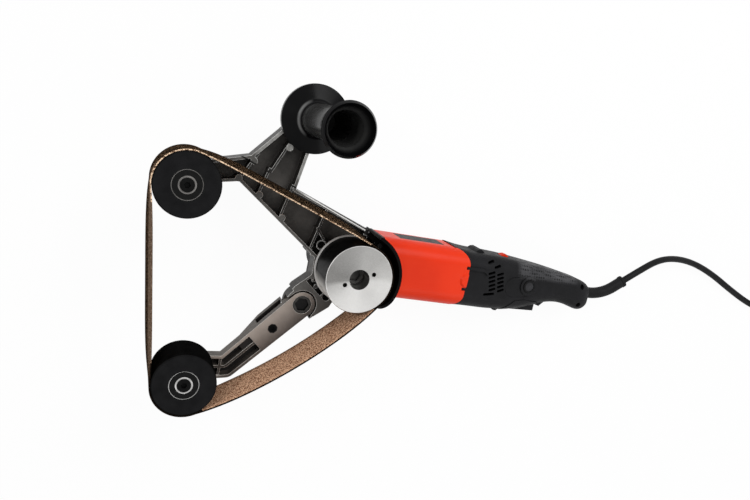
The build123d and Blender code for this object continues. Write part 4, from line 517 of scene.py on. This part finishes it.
bolt_steel = grained("bolt_steel", dark=tone(44, 43, 42), light=tone(66, 65, 63), cloud=150, grain=2200,
                     depth=0.00002, rough=(0.35, 0.5), metallic=0.3, shine=0.3)
dress(bolt_steel, "drum_bolt")

# Rollers: moulded in black nylon, each on a blackened steel axle with a ball bearing at both ends.
# The upper axle is held by the frame and the lower one by the tension arm.
# Rubber seals close the bearings between their rings.

upper_at, lower_at = Vector((-0.1717, 0.0636, 0)), Vector((-0.1460, -0.1206, 0))
seal_inner, seal_outer, seal_depth, seal_sides = 0.0084, 0.0132, 0.0004, 64
seal_levels = (0.1250, 0.0855 - seal_depth)

roller_nylon, tree, shader, place = new_finish("roller_nylon", roughness=0.5)
facing = tree.nodes.new("ShaderNodeNewGeometry").outputs["True Normal"]
# Painted light: the end faces, which face up, are lighter than the tread.
end_face = beyond(tree, facing, up, 0.5, 0.8)
tread_tone = clouded(tree, place, 90, tone(10, 10, 10), tone(17, 17, 17))
lit_end_tone = clouded(tree, place, 90, tone(16, 16, 17), tone(25, 25, 26))
tree.links.new(mixed(tree, end_face, tread_tone, lit_end_tone), shader.inputs["Base Color"])
tree.links.new(spread(tree, end_face, 0.0, 0.05, 0.0, 1.0), shader.inputs["Specular IOR Level"])
fine_grain(tree, shader, place, 1400, depth=0.00005)
dress(roller_nylon, "upper_roller", "lower_roller")

axle_oxide = grained("axle_oxide", dark=tone(9, 9, 9), light=tone(16, 16, 16), cloud=200, grain=2500,
                     depth=0.00002, rough=(0.4, 0.5), shine=0.05)
dress(axle_oxide, "upper_axle", "lower_axle")
ring_steel = grained("ring_steel", dark=tone(96, 94, 92), light=tone(126, 124, 121), cloud=150, grain=2000,
                     depth=0.00002, rough=(0.35, 0.5), metallic=0.4, shine=0.3)
dress(ring_steel, "upper_inner_rings", "upper_outer_rings")
# Painted highlight: the lower rings are brighter than the upper ones.
highlit_lower_rings = grained("highlit_lower_rings", dark=tone(176, 175, 173), light=tone(216, 215, 213), cloud=150,
                       grain=2000, depth=0.00002, rough=(0.3, 0.45), metallic=0.4, shine=0.3)
dress(highlit_lower_rings, "lower_inner_rings", "lower_outer_rings")


def corners(geometry):
    """The vertices among the pieces that an operator made."""
    return [piece for piece in geometry if isinstance(piece, bmesh.types.BMVert)]


seal_rubber = grained("seal_rubber", dark=tone(9, 9, 9), light=tone(16, 16, 16),
                      cloud=300, grain=2600, depth=0.00003, rough=(0.45, 0.6))
for body, centre in (("upper_roller_unit", upper_at), ("lower_roller_unit", lower_at)):
    shape = bmesh.new()
    for level in seal_levels:
        seat = Matrix.Translation(centre + up * level)
        hoop = bmesh.ops.create_circle(shape, cap_ends=False, segments=seal_sides, radius=seal_outer,
                                       matrix=seat)
        outline = list({edge for corner in hoop["verts"] for edge in corner.link_edges})
        inner = corners(bmesh.ops.extrude_edge_only(shape, edges=outline)["geom"])
        bmesh.ops.scale(shape, vec=(seal_inner / seal_outer, seal_inner / seal_outer, 1.0), verts=inner,
                        space=seat.inverted())
        plate = list({face for corner in inner for face in corner.link_faces})
        raised = bmesh.ops.extrude_face_region(shape, geom=plate)["geom"]
        bmesh.ops.translate(shape, vec=up * seal_depth, verts=corners(raised))
    bmesh.ops.recalc_face_normals(shape, faces=shape.faces)
    mesh = bpy.data.meshes.new(body + "_seals")
    shape.to_mesh(mesh)
    shape.free()
    seals = bpy.data.objects.new(body + "_seals", mesh)
    bpy.context.scene.collection.objects.link(seals)
    mesh.materials.append(seal_rubber)
    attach(seals, body)

# Sanding belt: cloth strip with grit glued to its outer side, joined to an endless loop.
# It is stretched over the drum and both rollers by the sprung arm.
# Its lower run curves in slackly, and its left run leans out at the back.

belt_low, belt_high, belt_rows = 0.0855, 0.1255, 8
belt_gap, belt_thickness, slack_radius = 0.0003, 0.0012, 0.520
drum_radius, roller_radius = 0.0335, 0.0298
straight_steps, roller_steps, slack_steps, drum_steps = 24, 36, 28, 40
loop_middle, in_plan = Vector((-0.1, -0.02, 0)), Vector((1, 1, 0))
pale_side, pale_start, pale_reach = 0.030, 0.005, 0.034
left_depth, left_end, wrap_depth = 0.004, -0.105, 0.002
grit_face, cloth_face, pale_edge, shaded_edge = range(4)


def tangent_normal(first, first_radius, second, second_radius):
    """Direction in which two circles meet their outer tangent, on the right of the way between them."""
    run = second - first
    lean = (first_radius - second_radius) / run.length
    return run.normalized() * lean + Vector((run.y, -run.x, 0)).normalized() * sqrt(1 - lean * lean)


def turn_between(first, second):
    """Angle from one direction to another, counter-clockwise."""
    return (atan2(second.y, second.x) - atan2(first.y, first.x)) % (2 * pi)


top_side = tangent_normal(drum_at, drum_radius, upper_at, roller_radius)
left_side = tangent_normal(upper_at, roller_radius, lower_at, roller_radius)
chord = drum_at - lower_at
lower_span, drum_span = slack_radius - roller_radius, slack_radius - drum_radius
along = (chord.length ** 2 + lower_span ** 2 - drum_span ** 2) / (2 * chord.length)
across = Vector((-chord.y, chord.x, 0)).normalized() * sqrt(lower_span ** 2 - along ** 2)
slack_at = lower_at + chord.normalized() * along + across
low_side, drum_side = (lower_at - slack_at).normalized(), (drum_at - slack_at).normalized()

shape = bmesh.new()
belt_start = drum_at + top_side * (drum_radius + belt_gap)
belt_rise = (belt_high - belt_low) / belt_rows
column = [shape.verts.new(belt_start + up * (belt_low + belt_rise * row)) for row in range(belt_rows + 1)]
edges = [shape.edges.new(pair) for pair in zip(column, column[1:])]
runs = []


def run_straight(edges, way, steps, name):
    """Draw the belt's edge line along a straight run."""
    for step in range(steps):
        made = bmesh.ops.extrude_edge_only(shape, edges=edges)["geom"]
        points = corners(made)
        edges = [piece for piece in made if isinstance(piece, bmesh.types.BMEdge)]
        bmesh.ops.translate(shape, vec=way / steps, verts=points)
        runs.extend((point, name, (step + 1) / steps) for point in points)
    return edges


def run_round(edges, centre, angle, steps):
    """Draw the belt's edge line round an upright axis."""
    points = list({corner for edge in edges for corner in edge.verts})
    swept = bmesh.ops.spin(shape, geom=points + edges, cent=centre, axis=up, angle=angle, steps=steps)
    return [piece for piece in swept["geom_last"] if isinstance(piece, bmesh.types.BMEdge)]


upper_run = upper_at + top_side * (roller_radius + belt_gap) - belt_start
slack_turn = turn_between(low_side, drum_side)
edges = run_straight(edges, upper_run, straight_steps, "upper")
edges = run_round(edges, upper_at, turn_between(top_side, left_side), roller_steps)
edges = run_straight(edges, lower_at - upper_at, straight_steps, "left")
edges = run_round(edges, lower_at, turn_between(left_side, low_side), roller_steps)
before = set(shape.verts)
edges = run_round(edges, slack_at, slack_turn, slack_steps)
for point in set(shape.verts) - before:
    runs.append((point, "lower", turn_between(low_side, (point.co - slack_at) * in_plan) / slack_turn))
run_round(edges, drum_at, turn_between(drum_side, top_side), drum_steps)

# Each free run bulges out by one amount at its back edge and by another at its front edge.
bulges = {"upper": (top_side, 0.0050, 0.0016), "left": (left_side, 0.0028, -0.0018),
          "lower": ((low_side + drum_side).normalized(), -0.0004, 0.0022)}
for point, name, share in runs:
    outwards, back, front = bulges[name]
    height = (point.co.z - belt_low) / (belt_high - belt_low)
    fullness = 1 - abs(2 * min(1.0, share) - 1) ** 5
    point.co += outwards * (back + (front - back) * height ** 2) * fullness
bmesh.ops.remove_doubles(shape, verts=shape.verts, dist=0.00002)
bmesh.ops.recalc_face_normals(shape, faces=shape.faces)
if max(shape.faces, key=lambda face: face.calc_center_median().x).normal.x > 0:
    bmesh.ops.reverse_faces(shape, faces=shape.faces)
bmesh.ops.solidify(shape, geom=list(shape.faces), thickness=belt_thickness)
for face in shape.faces:
    face.smooth = True
    middle = face.calc_center_median()
    outward = face.normal.dot((middle - loop_middle) * in_plan) > 0
    wrapped = any(((middle - at) * in_plan).length < radius + wrap_depth
                  for at, radius in ((drum_at, drum_radius), (lower_at, roller_radius)))
    on_upper_run = middle.dot(top_side) > pale_side and middle.dot(upper_run.normalized()) > pale_start
    on_upper_roller = ((middle - upper_at) * in_plan).length < pale_reach
    on_left_run = (middle - upper_at).dot(left_side) > roller_radius - left_depth and middle.y > left_end
    # Painted shade: the inner side where it wraps the drum and the lower roller, and the edges off the
    # upper run, the upper roller and the left run, take the shaded edge finish.
    if abs(face.normal.z) < 0.7:
        face.material_index = grit_face if outward else shaded_edge if wrapped else cloth_face
    elif on_upper_run or on_upper_roller:
        face.material_index = pale_edge
    else:
        face.material_index = grit_face if on_left_run else shaded_edge
mesh = bpy.data.meshes.new("sanding_belt_cloth")
shape.to_mesh(mesh)
shape.free()
belt = bpy.data.objects.new("sanding_belt_cloth", mesh)
bpy.context.scene.collection.objects.link(belt)


def grit(name, size, rough, steps, browns, *patches):
    """Finish of glued grit: speckles in three browns over a raised grain, with others in each patch."""
    material, tree, shader, place = new_finish(name, rough, shine=0.0)
    cells = tree.nodes.new("ShaderNodeTexVoronoi")
    cells.inputs["Scale"].default_value = size
    tree.links.new(place, cells.inputs["Vector"])
    speckles = tree.nodes.new("ShaderNodeMath")
    speckles.operation = "MULTIPLY_ADD"
    tree.links.new(grains(tree, place, size * 0.6, 6.0), speckles.inputs[0])
    speckles.inputs[1].default_value = 0.8
    tree.links.new(spread(tree, cells.outputs["Distance"], 0.0, 0.35, 0.1, 0.7), speckles.inputs[2])
    colour = shades(tree, speckles.outputs["Value"], *zip(steps, browns))
    for patch_browns, *limits in patches:
        patch = shades(tree, speckles.outputs["Value"], *zip(steps, patch_browns))
        colour = mixed(tree, within(tree, place, limits), colour, patch)
    tree.links.new(colour, shader.inputs["Base Color"])
    relief(tree, shader, speckles.outputs["Value"], depth=0.0004)
    return material


left = upper_at.dot(left_side) + roller_radius
clear_of_roller = (across_motor, -0.118, -0.090)
# Painted light: paler grit near the front edge and in a band on the left run.
lit_front_rim = ((tone(14, 11, 8), tone(40, 30, 23), tone(190, 158, 127)),
             (up, 0.1215, 0.1245), clear_of_roller)
lit_left_rim = ((tone(84, 66, 53), tone(122, 102, 86), tone(170, 148, 128)),
            (left_side, left - 0.006, left - 0.002), (up, 0.1110, 0.1155), clear_of_roller)
black_rim = ((tone(10, 7, 6), tone(13, 10, 8), tone(24, 18, 14)), (up, 0.1244, 0.1248))
for finish in (
    grit("belt_grit", 1500, 0.7, (0.62, 0.71, 0.81),
         (tone(8, 6, 5), tone(18, 13, 10), tone(140, 112, 86)), lit_front_rim, lit_left_rim),
    grit("belt_cloth", 1000, 0.75, (0.40, 0.55, 0.74),
         (tone(68, 40, 28), tone(142, 97, 71), tone(228, 186, 153)), black_rim),
    grit("belt_edge", 900, 0.8, (0.46, 0.57, 0.70),
         (tone(34, 25, 19), tone(146, 112, 85), tone(250, 219, 186))),
    grit("belt_shaded_edge", 900, 0.8, (0.36, 0.52, 0.72),
         (tone(8, 6, 5), tone(12, 9, 8), tone(30, 23, 18))),
):
    mesh.materials.append(finish)
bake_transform(belt)
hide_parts("sanding_belt")

# Side handle: moulded in black plastic, hollow from its flared end, and screwed on a steel stud.
# Its shank is painted lighter, as painted light, and one side of the collar and the rim of the flare carry
# painted highlights.

grip_at = Vector((-0.062, 0.1396, 0))
shank_reach, shank_limits = (0.0165, 0.0195), ((up, 0.0975, 0.1000), (-up, -0.2060, -0.1980))
collar_start, collar_end = (0.0163, 0.0175), (0.0182, 0.0196)
collar_limits = ((-up, -0.1020, -0.0990), (-along_motor, 0.0690, 0.0780))
flare_reach, flare_level = (0.0224, 0.0228), (0.2062, 0.2070)

grip_plastic, tree, shader, place = new_finish("grip_plastic", roughness=0.2, shine=0.07)
grip_reach = reach_from(tree, place, grip_at)
shank = within(tree, place, shank_limits, falling(tree, grip_reach, *shank_reach))
collar = product(tree, rising(tree, grip_reach, *collar_start), falling(tree, grip_reach, *collar_end))
collar = within(tree, place, collar_limits, collar)
flare = product(tree, rising(tree, grip_reach, *flare_reach), beyond(tree, place, up, *flare_level))
colour = clouded(tree, place, 60, tone(7, 7, 8), tone(11, 11, 12))
# Painted light on the shank, and painted highlights on one side of the collar and on the rim of the flare.
for mask, dark, light in (
    (shank, tone(44, 44, 44), tone(56, 56, 55)),
    (collar, tone(104, 104, 104), tone(128, 128, 127)),
    (flare, tone(60, 60, 60), tone(96, 96, 95)),
):
    colour = mixed(tree, mask, colour, clouded(tree, place, 60, dark, light))
tree.links.new(colour, shader.inputs["Base Color"])
uneven_gloss(tree, shader, place, 180, 0.16, 0.22)
fine_grain(tree, shader, place, 1500, depth=0.00001)
dress(grip_plastic, "side_handle")

# Mains lead: round rubber cable from the guard along the bench to a tied coil, with a moulded plug.
# The turns spiral in on the lower layer, climb, and spiral out on the upper one.

cord_diameter = 0.008
cord_route = [
    (0.36989, 0.01928, 0.0325), (0.39038, 0.03529, 0.0325), (0.420, 0.051, 0.025), (0.452, 0.056, 0.017),
    (0.490, 0.053, 0.0095), (0.530, 0.041, 0.0058), (0.568, 0.024, 0.0048), (0.606, 0.009, 0.0048),
    (0.632, 0.004, 0.0048), (0.656, 0.004, 0.0048),
]
coil_at, coil_radius, coil_step, coil_low, coil_rise = (0.664, 0.062), 0.058, 0.0086, 0.0048, 0.0085
half_points, climbing_half = 12, 6
plug_reach, plug_straight = 0.046, 0.030

coil_halves = [coil_radius - coil_step / 2 * half for half in range(climbing_half + 1)]
coil_halves += coil_halves[-2:0:-1]
angles = [pi * (step + 0.5) / half_points for step in range(half_points)]
point_share = 1 / cos(pi / half_points / 2)
foot = coil_at[1] - coil_radius
way, height = 1, coil_low
for half, radius in enumerate(coil_halves):
    for angle in angles:
        if half == climbing_half:
            height = coil_low + coil_rise * (1 - cos(angle)) / 2
        cord_route.append((coil_at[0] + way * radius * point_share * sin(angle),
                           foot + way * radius * (1 - point_share * cos(angle)), height))
    foot += way * 2 * radius
    way = -way
for angle in angles[:half_points // 2]:
    cord_route.append((coil_at[0] + coil_radius * point_share * sin(angle),
                       foot + coil_radius * (1 - point_share * cos(angle)), height))
plug_start = (coil_at[0] + coil_radius, foot + coil_radius + plug_reach, height)
cord_route += [(plug_start[0], plug_start[1] - plug_straight, height), plug_start]
line = bpy.data.curves.new("mains_lead", "CURVE")
line.dimensions = "3D"
line.bevel_depth = cord_diameter / 2
line.bevel_resolution = 5
line.resolution_u = 6
line.use_fill_caps = True
spline = line.splines.new("NURBS")
spline.points.add(len(cord_route) - 1)
for point, where in zip(spline.points, cord_route):
    point.co = (*where, 1.0)
spline.order_u = 3
spline.use_endpoint_u = True
lead = bpy.data.objects.new("mains_lead", line)
bpy.context.scene.collection.objects.link(lead)
cable_rubber = grained("cable_rubber", dark=tone(18, 18, 19), light=tone(28, 28, 29),
                       cloud=80, grain=1500, depth=0.00004, rough=(0.42, 0.55))
line.materials.append(cable_rubber)
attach(lead, "machine")
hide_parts("cord_lead", "cord_coil")

# Plug and tie: the plug is moulded in black rubber on the end of the lead, round two plated pins.
# A rubber strap ties the turns of the coil.

plug_rubber = grained("plug_rubber", dark=tone(20, 20, 21), light=tone(30, 30, 31),
                      cloud=80, grain=1300, depth=0.00006, rough=(0.4, 0.55))
dress(plug_rubber, "plug_body", "cord_tie")
plated_pin = grained("plated_pin", dark=tone(180, 176, 168), light=tone(214, 210, 202),
                     cloud=150, grain=1600, depth=0.00002, rough=(0.2, 0.32), metallic=1.0)
dress(plated_pin, "plug_pins")

# Studio: pale paper floor in a white room, which looks white to the camera and in mirrors.
# A large lamp hangs above, a weaker one on the right and a small one on the left.
# The camera looks steeply down from the upper left.

floor_half, floor_level = 6.0, -0.0005
camera_at = Vector((-0.2282, 0.1558, 0.778))
camera_right = Vector((0.931819, 0.204296, 0.299960))
camera_down = Vector((0.135846, -0.962768, 0.233719))
camera_ahead = Vector((0.336540, -0.177036, -0.924878))
lamps_aim = Vector((-0.05, 0, 0.05))
lamps = (
    ("lamp_above", Vector((0.35, 0.9, 1.3)), 0.9, 13.0),
    ("lamp_left", Vector((-1.0, 0.35, 0.9)), 0.15, 2.5),
    ("lamp_right", Vector((0.9, -0.7, 1.2)), 0.8, 3.5),
)

floor_mesh = bpy.data.meshes.new("bench_top")
shape = bmesh.new()
bmesh.ops.create_grid(shape, x_segments=1, y_segments=1, size=floor_half,
                      matrix=Matrix.Translation(up * floor_level))
shape.to_mesh(floor_mesh)
shape.free()
floor = bpy.data.objects.new("bench_top", floor_mesh)
bpy.context.scene.collection.objects.link(floor)
white_paper, tree, shader, place = new_finish("white_paper", roughness=0.9)
paper_tone = clouded(tree, place, 30, (0.86, 0.86, 0.86, 1), (0.88, 0.88, 0.88, 1))
tree.links.new(paper_tone, shader.inputs["Base Color"])


def seen_directly(tree, share):
    """Share for rays from the camera and for mirrored and refracted ones, 0 for all others."""
    rays = tree.nodes.new("ShaderNodeLightPath")
    seen = rays.outputs["Is Camera Ray"]
    for name in ("Is Glossy Ray", "Is Transmission Ray"):
        either = tree.nodes.new("ShaderNodeMath")
        either.operation = "MAXIMUM"
        tree.links.new(seen, either.inputs[0])
        tree.links.new(rays.outputs[name], either.inputs[1])
        seen = either.outputs["Value"]
    return spread(tree, seen, 0.0, share, 0.0, 1.0)


glow = tree.nodes.new("ShaderNodeEmission")
cover = tree.nodes.new("ShaderNodeMixShader")
tree.links.new(seen_directly(tree, 0.95), cover.inputs["Fac"])
tree.links.new(shader.outputs["BSDF"], cover.inputs[1])
tree.links.new(glow.outputs["Emission"], cover.inputs[2])
tree.links.new(cover.outputs["Shader"], tree.nodes["Material Output"].inputs["Surface"])
floor_mesh.materials.append(white_paper)

world = bpy.data.worlds.new("white_room")
bpy.context.scene.world = world
world.use_nodes = True
tree = world.node_tree
sky = tree.nodes["Background"]
sky.inputs["Color"].default_value = (1, 1, 1, 1)
tree.links.new(spread(tree, seen_directly(tree, 1.0), 0.5, 1.0, 0.0, 1.0), sky.inputs["Strength"])

for name, where, size, power in lamps:
    lamp = bpy.data.lights.new(name, "AREA")
    lamp.size = size
    lamp.energy = power
    holder = bpy.data.objects.new(name, lamp)
    bpy.context.scene.collection.objects.link(holder)
    holder.location = where
    holder.rotation_mode = "QUATERNION"
    holder.rotation_quaternion = (lamps_aim - where).to_track_quat("-Z", "Y")

camera = bpy.data.objects.new("photo_camera", bpy.data.cameras.new("photo_camera"))
bpy.context.scene.collection.objects.link(camera)
camera.data.sensor_width = 36.0
camera.data.lens = 35.52
camera.data.clip_start = 0.01
camera_turn = Matrix((camera_right, -camera_down, -camera_ahead)).transposed().to_4x4()
camera.matrix_world = Matrix.Translation(camera_at) @ camera_turn
bpy.context.scene.camera = camera
bpy.context.scene.view_settings.view_transform = "Standard"
